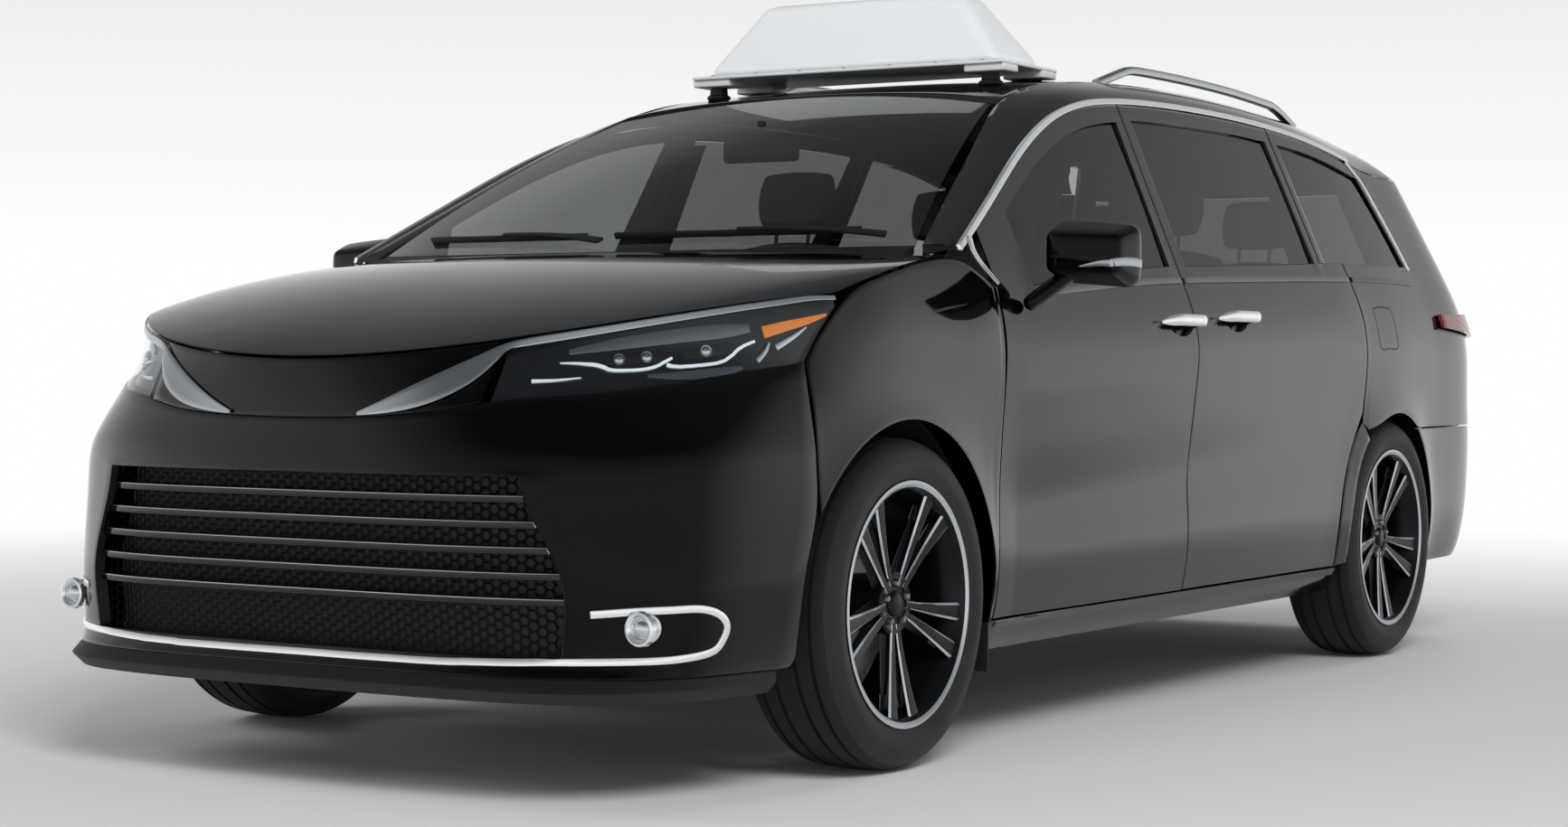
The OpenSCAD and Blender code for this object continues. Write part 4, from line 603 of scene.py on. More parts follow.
# fog lamps: a bright ring and a clear eye before the CAD lamp
FOG_RING = [(0.022, -0.002), (0.0245, 0.004), (0.029, 0.0065), (0.034, 0.005), (0.036, -0.006)]
FOG_EYE = [(0, 0.004), (0.009, 0.003), (0.016, 0), (0.02, -0.003), (0.0225, -0.002)]
for side, sign in SIDES:
    points = [p.co for p in NODES["fog_lamps"].data.vertices if p.co.x * sign > 0]
    spot = sum(points, Vector()) / len(points)
    spot.y = min(p.y for p in points)
    ahead = Matrix.Translation(spot) @ Matrix.Rotation(radians(-90), 4, "Z")
    bezel = ring("fog_ring_" + side, FOG_RING, 48)
    bezel.data.transform(ahead)
    done(bezel, "body", "bright_metal", CHROME)
    eye = ring("fog_eye_" + side, FOG_EYE, 40)
    eye.data.transform(ahead)
    done(eye, "body", "lamp_clear", REFLECTOR)


# Headlamps: a dark housing behind the clear cover, with a smoked shelf, two cells with projectors,
# hooked light guides and the amber marker

housing = copy_of("headlamps", "lamp_housing")
rounded(housing, 2)
for p in housing.data.vertices:
    p.co += Vector((-0.009 if p.co.x > 0 else 0.009, 0.013, -0.001))
done(housing, "body", "black_plastic", BEZEL)

# name, finish, thickness, widths and points of each strip on the left housing
LAMP_STRIPS = (
    ("lamp_shelf", SMOKE, 0.004, [0.012, 0.026, 0.03, 0.03, 0.018],
     [(0.587, -2.383, 0.924), (0.673, -2.309, 0.943), (0.752, -2.224, 0.958), (0.809, -2.145, 0.968),
      (0.843, -2.087, 0.975)]),
    ("lamp_cell_inner", SEAL, 0.002, 0.024,
     [(0.65, -2.345, 0.912), (0.69, -2.31, 0.914), (0.738, -2.256, 0.918)]),
    ("lamp_cell_outer", SEAL, 0.002, 0.024,
     [(0.766, -2.222, 0.922), (0.795, -2.18, 0.927), (0.826, -2.128, 0.935)]),
    ("light_guide_inner", GUIDE, 0.006, [0.003, 0.008, 0.009, 0.008, 0.007, 0.007, 0.006],
     [(0.575, -2.398, 0.902), (0.628, -2.363, 0.9), (0.65, -2.35, 0.896), (0.667, -2.339, 0.889),
      (0.707, -2.302, 0.89), (0.729, -2.273, 0.896), (0.75, -2.241, 0.914)]),
    ("light_guide_outer", GUIDE, 0.006, [0.01, 0.008, 0.007, 0.007, 0.007, 0.006],
     [(0.745, -2.255, 0.9), (0.761, -2.237, 0.896), (0.802, -2.181, 0.901), (0.822, -2.146, 0.91),
      (0.836, -2.112, 0.934), (0.852, -2.08, 0.948)]),
    ("light_guide_tip", GUIDE, 0.005, [0.009, 0.006, 0.003],
     [(0.535, -2.442, 0.866), (0.582, -2.416, 0.869), (0.622, -2.386, 0.874)]),
    ("lamp_base", SMOKE, 0.003, [0.008, 0.02, 0.02, 0.008],
     [(0.72, -2.29, 0.876), (0.778, -2.231, 0.88), (0.82, -2.16, 0.886), (0.846, -2.115, 0.895)]),
    ("lamp_facet_inner", REFLECTOR, 0.006, [0.012, 0.009, 0.004],
     [(0.859, -2.082, 0.908), (0.864, -2.06, 0.926), (0.867, -2.049, 0.945)]),
    ("lamp_facet_outer", REFLECTOR, 0.006, [0.014, 0.01, 0.004],
     [(0.876, -2.035, 0.935), (0.89, -1.99, 0.958), (0.901, -1.957, 0.979)]),
    ("side_marker", AMBER, 0.007, [0.026, 0.022, 0.016, 0.006],
     [(0.858, -2.06, 0.966), (0.881, -2.012, 0.979), (0.901, -1.955, 0.992), (0.915, -1.9, 1.006)]))
PROJECTOR = [(0, 0.01), (0.006, 0.0092), (0.0095, 0.006), (0.0105, 0.003), (0.0112, 0.005),
             (0.0125, 0.0052), (0.013, 0.001), (0.013, -0.006)]
PROJECTORS_AT = [(0.674, -2.325, 0.912), (0.715, -2.283, 0.916), (0.795, -2.18, 0.927)]
for side, sign in SIDES:
    for name, mat, thick, width, points in LAMP_STRIPS:
        made = ribbon(name + "_" + side, housing, across(points, sign), width, thick)
        done(made, "body", "lamp_clear", mat)
    eyes = []
    for near in across(PROJECTORS_AT, sign):
        eye = ring("projector", PROJECTOR, 32)
        set_on(eye, housing, near)
        eyes.append(eye)
    done(join("projectors_" + side, *eyes), "body", "lamp_clear", REFLECTOR)


# Wheels: one is modelled at the origin with its face to +X, then copied to the four corners

RIM = [(0.236, -0.088), (0.251, -0.096), (0.273, -0.1095), (0.273, -0.108), (0.2606, -0.0925),
       (0.2606, 0.0925), (0.273, 0.108), (0.274, 0.1105), (0.268, 0.1125), (0.26, 0.108), (0.254, 0.098),
       (0.249, 0.086), (0.238, 0.066), (0.231, 0.03), (0.229, -0.04), (0.236, -0.088)]
rim = ring("rim", RIM, 96)
dress(rim, ALLOY, TURNED)
facing(rim, 1, lambda middle, normal: middle.x > 0.109)

SPOKES = 5
# shares of a blade's width at which its rows of points lie
ROWS = (0, 0.15, 0.32, 0.5, 0.68, 0.85, 1)


def blade_face(u, v):
    """Face of one blade of a spoke: a slim bar with slanted borders that leans away from its twin."""
    r = 0.045 + 0.214 * u
    low = 0.003 + 0.021 * u ** 1.2
    high = 0.019 + 0.049 * u ** 1.25
    t = ROWS[round(v * 6)]
    y = low + (high - low) * t
    x = 0.074 + 0.024 * u ** 1.4 - (0.004 if t in (0, 1) else 0)
    return Vector((x, sqrt(max(r * r - y * y, 0)), y))


blade = sheet("blade", 14, 6, blade_face)
edit(blade, outward)
modify(blade, "SOLIDIFY", thickness=0.034, offset=-1 if blade.data.polygons[0].normal.x > 0 else 1)
dress(blade, ALLOY, TURNED)
facing(blade, 1, lambda middle, normal: normal.x > 0.3 and abs(normal.z) > 0.3)
broken(blade, 0.0008, segments=1)
blades = []
for i in range(SPOKES):
    spin = Matrix.Rotation(radians(360 / SPOKES * i - 90), 4, "X")
    blades.append(again(blade, "blade", spin))
    blades.append(again(blade, "blade", spin @ Matrix.Diagonal((1, 1, -1, 1)), True))
hub = ring("hub", [(0, 0.0795), (0.018, 0.079), (0.026, 0.0765), (0.0285, 0.073), (0.03, 0.07),
                   (0.052, 0.072), (0.064, 0.0745), (0.0705, 0.071), (0.072, 0.06), (0.069, 0.03),
                   (0.062, -0.05)], 64)
dress(hub, ALLOY)
disc = ring("disc", [(0.06, -0.034), (0.098, -0.034), (0.1, -0.036), (0.166, -0.036), (0.168, -0.038),
                     (0.168, -0.056), (0.166, -0.058), (0.06, -0.058)], 72)
dress(disc, STEEL)
nut = ring("nut", [(0, 0.082), (0.006, 0.0815), (0.0085, 0.079), (0.0095, 0.07)], 6, (0, 0.046, 0))
dress(nut, STEEL)
nuts = [again(nut, "nut", Matrix.Rotation(radians(360 / SPOKES * i - 54), 4, "X")) for i in range(SPOKES)]
bpy.data.objects.remove(blade)
bpy.data.objects.remove(nut)
wheel = join("wheel", rim, hub, disc, *blades, *nuts)

# tyre: walls with a raised band, rounded shoulders, four grooves round the running face
HALF_TYRE = [(0.2615, 0.0915), (0.2745, 0.107), (0.282, 0.1105), (0.29, 0.1125), (0.293, 0.1142),
             (0.303, 0.1162), (0.306, 0.1172), (0.318, 0.1172), (0.321, 0.1162), (0.333, 0.114),
             (0.345, 0.1085), (0.3545, 0.1), (0.361, 0.09), (0.3648, 0.08), (0.3656, 0.0745),
             (0.359, 0.0735), (0.359, 0.0655), (0.3668, 0.0645), (0.369, 0.034), (0.3615, 0.033),
             (0.3615, 0.024), (0.3693, 0.023), (0.3699, 0)]
tyre = ring("tyre", [(r, -x) for r, x in HALF_TYRE] + HALF_TYRE[-2::-1], 128)
dress(tyre, RUBBER, WALL)
facing(tyre, 1, lambda middle, normal: sqrt(middle.y ** 2 + middle.z ** 2) < 0.352)

for end, y in (("front", FRONT_AXLE), ("rear", REAR_AXLE)):
    for side, sign in SIDES:
        corner = end + "_" + side
        place = Matrix.Translation((sign * TRACK, y, AXLE_Z))
        if sign < 0:
            place = place @ MIRRORED
        made = again(wheel, "alloy_" + corner, place, sign < 0)
        done(made, "wheel_" + corner, "wheel_alloy")
        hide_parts("wheel_" + corner)
        made = again(tyre, "rubber_" + corner, place, sign < 0)
        done(made, "wheel_" + corner, "tyre_rubber", angle=30)
        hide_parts("tyre_" + corner)
bpy.data.objects.remove(wheel)
bpy.data.objects.remove(tyre)


# Roof sign: a milky tapered shell on a white flange with screws, corner plates and four feet

# width and depth of the shell at its foot and at its top
WIDE, DEEP = 0.95, 0.284
TOP_WIDE, TOP_DEEP = 0.63, 0.128
low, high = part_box("roof_sign")
sign_y = (low[1] + high[1]) / 2


def sign_foot(u, v):
    """The lower face of the sign's shell."""
    return Vector(((u - 0.5) * WIDE, sign_y + (v - 0.5) * DEEP, low[2] + 0.001))


shell = sheet("sign_shell", 1, 1, sign_foot)
raised = {"value": (0, 0, high[2] - low[2] - 0.003)}
edit(shell, lambda: bpy.ops.mesh.extrude_region_move(TRANSFORM_OT_translate=raised))
for p in shell.data.vertices:
    if p.co.z > low[2] + 0.1:
        p.co.x *= TOP_WIDE / WIDE
        p.co.y = sign_y + (p.co.y - sign_y) * TOP_DEEP / DEEP
edit(shell, outward)
broken(shell, 0.03, segments=6, angle=20)
done(shell, "body", "sign_white", ACRYLIC)
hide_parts("roof_sign")

low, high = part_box("sign_base")
top = high[2]
flange = block("sign_flange", (low[0], low[1], top - 0.010), (high[0], high[1], top), 0.004)
# turns a piece from the X axis to the Z axis
UPRIGHT = Matrix.Rotation(radians(-90), 4, "Y")
screws = []
for i in range(7):
    for s in (-1, 1):
        x, y = (i - 3) * 0.145, sign_y + s * 0.154
        screw = ring("screw", [(0, 0.0032), (0.004, 0.0028), (0.0065, 0.0012), (0.007, -0.001)], 16)
        screw.data.transform(Matrix.Translation((x, y, top)) @ UPRIGHT)
        screws.append(screw)
done(join("sign_screws", *screws), "body", "sign_plate", STEEL)
done(flange, "body", "sign_plate", PLATE)
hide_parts("sign_base")
bpy.context.view_layer.update()
for i, (sx, sy) in enumerate(((-1, -1), (1, -1), (-1, 1), (1, 1))):
    x, y = sx * 0.44, sign_y + sy * 0.115
    _, spot, _, _ = SKINS["roof_panel"].ray_cast(Vector((x, y, 2.2)), Vector((0, 0, -1)))
    corner_plate = block("sign_corner_%d" % i, (x - 0.062, y - 0.042, top - 0.03),
                         (x + 0.062, y + 0.042, top - 0.0095), 0.005)
    done(corner_plate, "body", "sign_plate", PLATE)
    stand = ring("sign_foot_%d" % i, [(0.024, top - 0.029 - spot.z), (0.026, 0.012), (0.033, 0.008),
                                      (0.034, 0.002), (0.03, -0.004)], 32)
    stand.data.transform(Matrix.Translation(spot) @ UPRIGHT)
    done(stand, "body", "sign_plate", SEAL)


# Side details; each is made on the left and copied to the right

def both(obj, left, slot, mat):
    """Finishes a left piece and adds its right twin on the matching body."""
    done(obj, left, slot, mat)
    return twin(obj, obj.name.replace("left", "right"), left.replace("left", "right"))


LEFT_DOOR, SLIDER, QUARTER = SKINS["door_left"], SKINS["sliding_doors"], SKINS["quarter_panels"]
# heights of the window sill at even steps from its front end to its rear end
SILL_FROM, SILL_LENGTH = -1.38, 3.0
SILL = [(z, 0, 0) for z in (1.064, 1.089, 1.114, 1.14, 1.161, 1.174, 1.187, 1.2, 1.21, 1.217, 1.222)]


def under_sill(ys):
    """Points just below the window sill."""
    return [(1.0, y, along(SILL, (y - SILL_FROM) / SILL_LENGTH)[0] - 0.009) for y in ys]


# sill mouldings under the windows
for name, skin, body, mat, ys in (
        ("door_moulding_left", LEFT_DOOR, "door_left", POST, (-1.0, -0.78, -0.56, -0.34, -0.125)),
        ("slide_moulding_left", SLIDER, "body", POST, (-0.1, 0.2, 0.5, 0.8, 1.15)),
        ("quarter_moulding_left", QUARTER, "body", GLOSS, (1.175, 1.4, 1.6, 1.765))):
    both(ribbon(name, skin, under_sill(ys), 0.017, 0.005), body, "black_plastic", mat)

# grey posts between the windows
for name, skin, body, width, points in (
        ("door_post_left", LEFT_DOOR, "door_left", 0.03,
         ((-0.128, 1.19), (-0.118, 1.3), (-0.101, 1.4), (-0.088, 1.5), (-0.08, 1.57))),
        ("slide_front_post_left", SLIDER, "body", 0.042,
         ((-0.07, 1.19), (-0.06, 1.3), (-0.046, 1.4), (-0.03, 1.5), (-0.025, 1.57))),
        ("slide_rear_post_left", SLIDER, "body", 0.036,
         ((0.946, 1.23), (0.955, 1.3), (0.965, 1.4), (0.975, 1.5), (0.982, 1.57))),
        ("quarter_post_left", QUARTER, "body", 0.036,
         ((1.0, 1.27), (1.006, 1.32), (1.015, 1.4), (1.025, 1.5), (1.032, 1.57)))):
    made = ribbon(name, skin, [(1.33 - 0.45 * z, y, z) for y, z in points], width, 0.0025, cols=30)
    both(made, body, "black_plastic", POST)

# bright strip down behind the rear window, and the short one down to the door's foot in front
made = ribbon("rear_window_strip_left", QUARTER,
              [(0.74, 1.615, 1.565), (0.765, 1.69, 1.5), (0.805, 1.733, 1.4), (0.85, 1.768, 1.3),
               (0.884, 1.79, 1.215)], 0.017, 0.006)
both(made, "body", "bright_metal", CHROME)


def front_wall(u, v):
    """A flat wall that leans in like the front door's pane."""
    return Vector((0.933 + 0.45 * (0.12 - 0.3 * v), -1.4 + 0.4 * u, 1.0 + 0.3 * v))


wall = sheet("wall", 1, 1, front_wall)
made = ribbon("front_window_strip_left", wall,
              [(0.9, -1.243, 1.2), (0.91, -1.25, 1.168), (0.92, -1.24, 1.14), (0.93, -1.214, 1.112),
               (0.94, -1.187, 1.086)], [0.02, 0.019, 0.016, 0.012, 0.009], 0.006, cols=40)
bpy.data.objects.remove(wall)
both(made, "body", "bright_metal", CHROME)

# door handles: a bright bar over a hollow in the skin
HOLLOW = [(0, 0.02), (0.03, 0.018), (0.05, 0.008), (0.056, 0), (0.05, -0.008), (0.03, -0.016), (0, -0.02)]
for name, skin, body, y, z in (("door_handle_left", LEFT_DOOR, "door_left", -0.208, 1.03),
                               ("slide_handle_left", SLIDER, "body", 0.165, 1.048)):
    _, spot, normal, _ = skin.closest_point_on_mesh(Vector((1.05, y, z)))

    def grip(u, v, spot=spot, normal=normal):
        """An oval bar that bends in to the skin at both ends."""
        t = 2 * u - 1
        a = 2 * pi * v
        reach = 0.034 - 0.03 * t ** 6
        thin = 1 - 0.75 * t ** 8
        out = normal * (reach + 0.009 * thin * cos(a))
        return spot + out + Vector((0, 0.125 * t, 0.016 * thin * sin(a)))

    made = sheet(name, 32, 16, grip)
    edit(made, weld,
         lambda: bpy.ops.mesh.select_all(action="DESELECT"),
         lambda: bpy.ops.mesh.select_non_manifold(),
         lambda: bpy.ops.mesh.edge_face_add(),
         lambda: bpy.ops.mesh.select_all(action="SELECT"),
         outward)
    both(made, body, "bright_metal", CHROME)
    cut = ring("hollow", HOLLOW, 40)
    cut.data.transform(Matrix.Translation(spot + Vector((0.004, 0, -0.002)))
                       @ Matrix.Diagonal((1.0, 1.35, 0.62, 1)))
    for s, target in ((1, skin), (-1, SKINS["door_right"] if body == "door_left" else skin)):
        tool = again(cut, "hollow", Matrix.Diagonal((s, 1, 1, 1)), s < 0)
        modify(target, "BOOLEAN", object=tool, operation="DIFFERENCE", solver="EXACT")
        modify(target, "WEIGHTED_NORMAL", keep_sharp=True)
        bpy.data.objects.remove(tool)
    bpy.data.objects.remove(cut)

# fuel door line on the left quarter panel: a thin dark strip of painted shade that stands for the shadowed
# gap round the fuel door
BEND = 0.026
FUEL_FRONT, FUEL_REAR = 1.28 + BEND, 1.45 - BEND
FUEL_FOOT, FUEL_TOP = 0.963 + BEND, 1.12 - BEND
outline = []
for y, z, start in ((FUEL_REAR, FUEL_TOP, 0), (FUEL_FRONT, FUEL_TOP, 90),
                    (FUEL_FRONT, FUEL_FOOT, 180), (FUEL_REAR, FUEL_FOOT, 270)):
    for turned in (0, 30, 60, 90):
        a = radians(start + turned)
        outline.append((1.05, y + BEND * cos(a), z + BEND * sin(a)))
made = ribbon("fuel_door_line", QUARTER, outline + outline[:1], 0.004, 0.0007, cols=160, edge=0.0002)
done(made, "body", "black_plastic", SEAL)

# grey strips along the sills and satin strips on the mirrors
made = ribbon("rocker_strip_left", SKINS["side_frames"],
              [(1.0, y, 0.268) for y in (-1.17, -0.7, -0.2, 0.3, 0.7, 0.98)], 0.03, 0.006)
both(made, "body", "black_plastic", GREY)
made = ribbon("mirror_strip_left", SKINS["mirror_left"],
              [(1.10, -1.12, 1.128), (1.15, -1.12, 1.134), (1.2, -1.09, 1.14), (1.235, -1.03, 1.142),
               (1.235, -0.985, 1.138)], [0.003, 0.012, 0.018, 0.02, 0.018], 0.004, cols=40)
both(made, "door_left", "rail_metal", SATIN)


def boxy(value, power):
    """Draws a sine or cosine out, so that a circle turns into a rounded box."""
    return abs(value) ** power * (1 if value > 0 else -1)


low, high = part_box("mirror_left")


def mirror_face(u, v):
    """A rounded pane in the back of the mirror's pod."""
    c, s = cos(2 * pi * u), sin(2 * pi * u)
    return Vector((1.112 + 0.09 * v * boxy(c, 0.55), high[1] + 0.0005,
                   1.165 + 0.056 * v * boxy(s, 0.55) - 0.03 * v * c * 0.15))


made = sheet("mirror_pane_left", 48, 3, mirror_face)
edit(made, weld)
modify(made, "SOLIDIFY", thickness=0.003, offset=0)
edit(made, outward)
both(made, "door_left", "bright_metal", MIRROR)

# roof rails: a rounded bar that rises from the roof at both ends
RAIL = [(0.554, 0.15, 1.694), (0.554, 0.2, 1.708), (0.555, 0.25, 1.722), (0.555, 0.3, 1.735),
        (0.555, 0.345, 1.746), (0.555, 0.42, 1.752), (0.555, 0.6, 1.7545), (0.554, 0.8, 1.755),
        (0.5525, 1.1, 1.7505), (0.548, 1.4, 1.739), (0.5465, 1.46, 1.733), (0.5455, 1.51, 1.7225),
        (0.544, 1.56, 1.7085), (0.5435, 1.6, 1.6965), (0.543, 1.64, 1.683)]


def rail_skin(u, v):
    """The rail's rounded section, drawn along its path."""
    c, s = cos(2 * pi * v), sin(2 * pi * v)
    return along(RAIL, u) + Vector((0.0135 * boxy(c, 0.6), 0, 0.0125 * boxy(s, 0.6)))


made = sheet("roof_rail_left", 84, 20, rail_skin)
edit(made, weld, lambda: bpy.ops.mesh.fill_holes(sides=0), outward)
both(made, "body", "rail_metal", SATIN)
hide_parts("roof_rails")

# inner walls that close the rear wheel houses, and their carpeted covers in the boot, down to the floor
FLOOR_Z = 0.312
for name, profile, steps, thick, mat in (
        ("wheel_house_wall_left", [(0.03, 0.6), (0.18, 0.6), (0.345, 0.6)], 64, 0.004, UNDER),
        ("wheel_cover_left", [(0.43, 0.565), (0.442, 0.572), (0.442, 0.93)], 72, 0.003, CARPET)):
    made = ring(name, profile, steps, (0, REAR_AXLE, AXLE_Z))
    choose(made, lambda place: place.z < FLOOR_Z, lambda: bpy.ops.mesh.delete(type="VERT"))
    modify(made, "SOLIDIFY", thickness=thick, offset=0)
    both(made, "body", "underbody", mat)

# dark gutters between hood, fender and screen post
made = block("hood_gutter_left", (0.79, -1.42, 1.074), (0.884, -1.305, 1.086), 0.003)
both(made, "body", "black_plastic", PLASTIC)


# Cabin: six seats, one modelled and copied

def pad(name, low, high, crown, bolster, grooves):
    """A stuffed pad between two corners: rounded, crowned, with raised sides and sewn grooves on its face."""
    low, high = Vector(low), Vector(high)
    bpy.ops.mesh.primitive_cube_add(size=2)
    made = new(name)
    edit(made, lambda: bpy.ops.mesh.subdivide(number_cuts=15))
    for p in made.data.vertices:
        a, b, c = p.co
        side = 1 - 0.10 * b * b - 0.08 * c * c
        deep = 1 - 0.10 * a * a - 0.10 * c * c
        tall = 1 - 0.08 * a ** 4 - 0.10 * b * b
        swell = crown * (1 - a * a) * (1 - b * b) + bolster * max(0, abs(a) - 0.62) * (1 - b ** 4)
        sewn = (sum(max(0, 1 - abs(abs(a) - g) / 0.07) for g in grooves) * 0.05
                + 0.05 * max(0, 1 - abs(b) / 0.09))
        lift = swell - sewn if c > 0.9 else 0
        p.co = (low + high) / 2 + Vector(((high.x - low.x) / 2 * a * side,
                                          (high.y - low.y) / 2 * b * deep,
                                          (high.z - low.z) / 2 * (c * tall * 0.86 + lift)))
    modify(made, "SUBSURF", levels=1, render_levels=1)
    return made


# the back and the headrest are made lying on their backs, then stood up leaning rearwards
stood = Matrix.Translation((0, 0.5, 0.62)) @ Matrix.Rotation(radians(78), 4, "X")
cushion = pad("cushion", (-0.25, 0.005, 0.512), (0.25, 0.50, 0.668), 0.1, 0.5, (0.58,))
rest = pad("rest", (-0.235, 0.01, -0.065), (0.235, 0.655, 0.055), 0.1, 0.6, (0.58,))
rest.data.transform(stood)
head = pad("head", (-0.122, 0.70, -0.05), (0.122, 0.868, 0.035), 0.12, 0.0, ())
head.data.transform(stood)
soft = join("seat_soft", cushion, rest, head)
dress(soft, LEATHER)
post = ring("head_post", [(0.006, 0), (0.006, 0.12)], 16)
post.data.transform(stood @ Matrix.Translation((0, 0.61, -0.005))
                    @ Matrix.Rotation(radians(90), 4, "Z"))
pair = [again(post, "head_post", Matrix.Translation((s * 0.055, 0, 0))) for s in (-1, 1)]
bpy.data.objects.remove(post)
posts = dress(join("head_posts", *pair), STEEL)
base = dress(block("seat_base", (-0.19, 0.07, 0.324), (0.19, 0.45, 0.53), 0.02), PLASTIC)
rails = []
for x in (-0.17, 0.17):
    rail = block("seat_rail", (x - 0.02, 0.03, 0.324), (x + 0.02, 0.49, 0.345), 0.004)
    rails.append(dress(rail, STEEL))
hard = join("seat_hard", base, posts, *rails)
for row, node, x, y in (("front", "front_seats", 0.37, -0.62), ("second", "rear_seats", 0.385, 0.33),
                        ("third", None, 0.275, 1.33)):
    for side, sign in SIDES:
        place = Matrix.Translation((sign * x, y, 0))
        made = done(again(soft, "seat_%s_%s" % (row, side), place), "body", "seat_leather")
        done(again(hard, "seat_frame_%s_%s" % (row, side), place), "body", "black_plastic")
        if node and sign > 0:
            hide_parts(node)
bpy.data.objects.remove(soft)
bpy.data.objects.remove(hard)

# inner mirror on its stalk
pod = block("inner_mirror", (-0.115, -0.745, 1.435), (0.115, -0.715, 1.5), 0.012)
stalk = block("mirror_stalk", (-0.012, -0.735, 1.49), (0.012, -0.72, 1.545), 0.004)
done(join("inner_mirror", pod, stalk), "body", "black_plastic", PLASTIC)


# Wipers: an arm and a blade each, lying along the foot of the windshield

def foot(x, up):
    """A point on the windshield, up from its lower edge."""
    return (x, -1.545 + 0.235 * (x / 0.79) ** 2 + up, 1.2 + up * 0.5)


def wiper(name, body, pane, blade, arm):
    """Joins a rubber blade and its arm; both are strips that follow a pane."""
    rubber = dress(ribbon(name + "_blade", pane, edge=EDGE, **blade), SEAL)
    holder = dress(ribbon(name + "_arm", pane, edge=EDGE, **arm), PLASTIC)
    done(join(name, rubber, holder), body, "black_plastic")


for side, xs in (("left", (0.06, 0.22, 0.38, 0.54, 0.66)), ("right", (-0.62, -0.46, -0.3, -0.14, -0.02))):
    middle, tail = xs[2], xs[-1] + 0.1
    bend = [foot(middle, 0.055), foot((middle + tail) / 2, 0.045), foot(tail - 0.03, 0.012)]
    wiper("wiper_" + side, "body", SKINS["windshield"],
          dict(points=[foot(x, 0.055) for x in xs], width=0.009, thick=0.016, cols=40),
          dict(points=bend, width=[0.010, 0.016, 0.024], thick=0.008, cols=24, lift=0.014))


# Tailgate and rear bumper

GATE, REAR = SKINS["liftgate"], SKINS["rear_bumper"]


def level(xs, y, z):
    """Points side by side at one height."""
    return [(x, y, z) for x in xs]


garnish = ribbon("gate_garnish", GATE, level((-0.42, -0.2, 0, 0.2, 0.42), 2.54, 1.035), 0.075, 0.009,
                 cols=60, edge=0.003)
done(garnish, "liftgate", "black_plastic", GLOSS)
bright = ribbon("gate_bright_strip", GATE, level((-0.66, -0.3, 0, 0.3, 0.66), 2.54, 0.985), 0.012, 0.008,
                cols=80, edge=EDGE)
done(bright, "liftgate", "bright_metal", CHROME)
GATE_LAMP = level((0.425, 0.52, 0.6, 0.69), 2.52, 1.037)
TAIL_LINE = [(0.95, 1.96, 1.055), (0.93, 2.15, 1.05), (0.87, 2.32, 1.043), (0.77, 2.45, 1.037)]
REAR_REFLECTOR = [(0.6, 2.55, 0.45), (0.68, 2.5, 0.45), (0.76, 2.45, 0.45)]
for side, sign in SIDES:
    lamp = ribbon("gate_lamp_" + side, GATE, across(GATE_LAMP, sign), [0.07, 0.074, 0.078, 0.082], 0.008,
                  cols=40, edge=0.003)
    done(lamp, "liftgate", "lamp_red", RED)
    line = ribbon("tail_line_" + side, SKINS["tail_lamps"], across(TAIL_LINE, sign), 0.008, 0.003)
    done(line, "body", "lamp_red", REFLECTOR)
    reflector = ribbon("rear_reflector_" + side, REAR, across(REAR_REFLECTOR, sign), 0.03, 0.005,
                       cols=24, edge=EDGE)
    done(reflector, "body", "lamp_red", RED)
stop = ribbon("high_stop_lamp", GATE, level((-0.2, -0.1, 0, 0.1, 0.2), 2.28, 1.605), 0.02, 0.005,
              cols=40, edge=EDGE)
done(stop, "liftgate", "lamp_red", RED)
valance = ribbon("rear_valance", REAR, level((-0.66, -0.4, 0, 0.4, 0.66), 2.55, 0.345), 0.1, 0.006,
                 cols=60, edge=EDGE)
done(valance, "body", "black_plastic", PLASTIC)
plate = block("number_plate", (0.004, -0.152, -0.076), (0.0075, 0.152, 0.076), 0.0016)
holder = block("plate_holder", (-0.004, -0.165, -0.088), (0.005, 0.165, 0.088), 0.003)
for piece, mat, slot in ((plate, PLATE, "sign_plate"), (holder, PLASTIC, "black_plastic")):
    set_on(piece, GATE, (0, 2.6, 0.865))
    done(piece, "liftgate", slot, mat)
wiped = [(x, 2.47, 1.165 + 0.05 * (0.3 - x)) for x in (0.30, 0.1, -0.1, -0.24)]
wiper("rear_wiper", "liftgate", SKINS["liftgate_glass"],
      dict(points=wiped, width=0.008, thick=0.014, cols=32),
      dict(points=[(0.0, 2.49, 1.142), (0.02, 2.48, 1.16), (0.06, 2.47, 1.176)],
           width=[0.03, 0.016, 0.01], thick=0.008, cols=16, lift=0.012))


# Stage, light and camera

bpy.ops.mesh.primitive_plane_add(size=400)
floor = new("floor")
pale = material("pale_floor", "#e6e6e5", Roughness=0.9)
tree = pale.node_tree
place = add(tree, "ShaderNodeTexCoord")
away = add(tree, "ShaderNodeVectorMath", [(place.outputs["Object"], 0)], operation="LENGTH")
fade = add(tree, "ShaderNodeMapRange", [(away.outputs["Value"], "Value")], interpolation_type="SMOOTHSTEP",
           **{"From Min": 2.6, "From Max": 9.0})
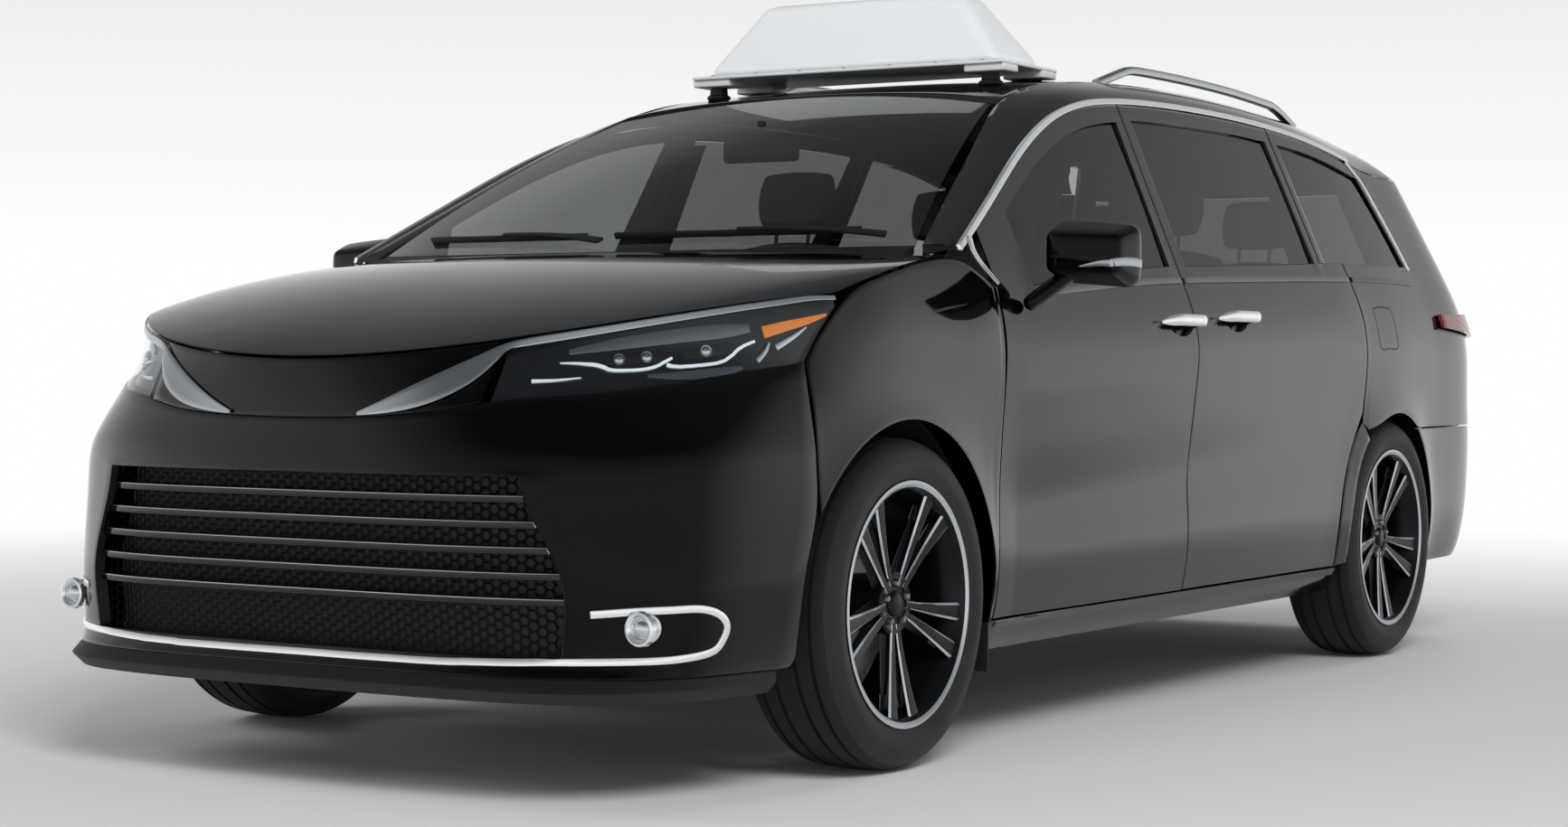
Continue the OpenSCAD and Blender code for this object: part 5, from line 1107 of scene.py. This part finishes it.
# the far floor runs out to plain white wherever it is seen or mirrored; near the vehicle it keeps the shadow
ray = add(tree, "ShaderNodeLightPath")
straight = add(tree, "ShaderNodeMath", [(ray.outputs["Is Camera Ray"], 0), (ray.outputs["Is Glossy Ray"], 1)],
               operation="MAXIMUM")
seen = add(tree, "ShaderNodeMath", [(straight.outputs[0], 0), (ray.outputs["Is Transmission Ray"], 1)],
           operation="MAXIMUM")
share = add(tree, "ShaderNodeMath", [(seen.outputs[0], 0), (fade.outputs["Result"], 1)],
            operation="MULTIPLY")
white = add(tree, "ShaderNodeEmission", Color=(1, 1, 1, 1), Strength=1.0)
mixed = add(tree, "ShaderNodeMixShader", [(share.outputs[0], 0), (white.outputs[0], 2),
                                          (tree.nodes["Principled BSDF"].outputs[0], 1)])
tree.links.new(mixed.outputs[0], tree.nodes["Material Output"].inputs["Surface"])
dress(floor, pale)
floor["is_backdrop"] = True

world = bpy.data.worlds.new("studio")
bpy.context.scene.world = world
world.use_nodes = True
sky = world.node_tree
# white at the horizon and dimmer overhead, as in a studio with lit walls and a dark ceiling
place = add(sky, "ShaderNodeTexCoord")
height = add(sky, "ShaderNodeSeparateXYZ", [(place.outputs["Generated"], "Vector")])
ramp = add(sky, "ShaderNodeValToRGB", [(height.outputs["Z"], "Fac")])
horizon, overhead = ramp.color_ramp.elements
horizon.position, horizon.color = 0.04, (1, 1, 1, 1)
overhead.position, overhead.color = 0.55, (0.14, 0.145, 0.15, 1)
sky.links.new(ramp.outputs["Color"], sky.nodes["Background"].inputs["Color"])
sky.nodes["Background"].inputs["Strength"].default_value = 1.0


AIM = Vector((0, 0, 0.8))


def softbox(name, place, size, power):
    """A large soft lamp that looks at the middle of the vehicle."""
    data = bpy.data.lights.new(name, "AREA")
    data.shape = "RECTANGLE"
    data.size, data.size_y = size
    data.energy = power
    lamp = bpy.data.objects.new(name, data)
    bpy.context.collection.objects.link(lamp)
    lamp.location = place
    lamp.visible_glossy = False
    lamp.rotation_euler = (AIM - Vector(place)).to_track_quat("-Z", "Y").to_euler()


softbox("key", (6, -6, 7), (5, 4), 600)
softbox("fill", (-8, -3, 5), (5, 4), 260)
softbox("back", (1, 9, 6), (6, 3), 320)

camera = bpy.data.objects.new("camera", bpy.data.cameras.new("camera"))
bpy.context.collection.objects.link(camera)
camera.data.sensor_width = 36
camera.data.lens = 64.72
camera.data.clip_end = 500
# where the photograph was taken from: azimuth, elevation and roll
turn, rise, roll = radians(31.975), radians(0.928), radians(0.27)
camera.location = (4.015, -7.041, 0.891)
back = Vector((sin(turn) * cos(rise), -cos(turn) * cos(rise), sin(rise)))
right = (-back).cross(Vector((0, 0, 1))).normalized()
up = right.cross(-back)
right, up = cos(roll) * right + sin(roll) * up, cos(roll) * up - sin(roll) * right
camera.rotation_mode = "QUATERNION"
camera.rotation_quaternion = Matrix((right, up, back)).transposed().to_quaternion()
bpy.context.scene.camera = camera
bpy.context.scene.view_settings.view_transform = "Standard"

low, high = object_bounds()
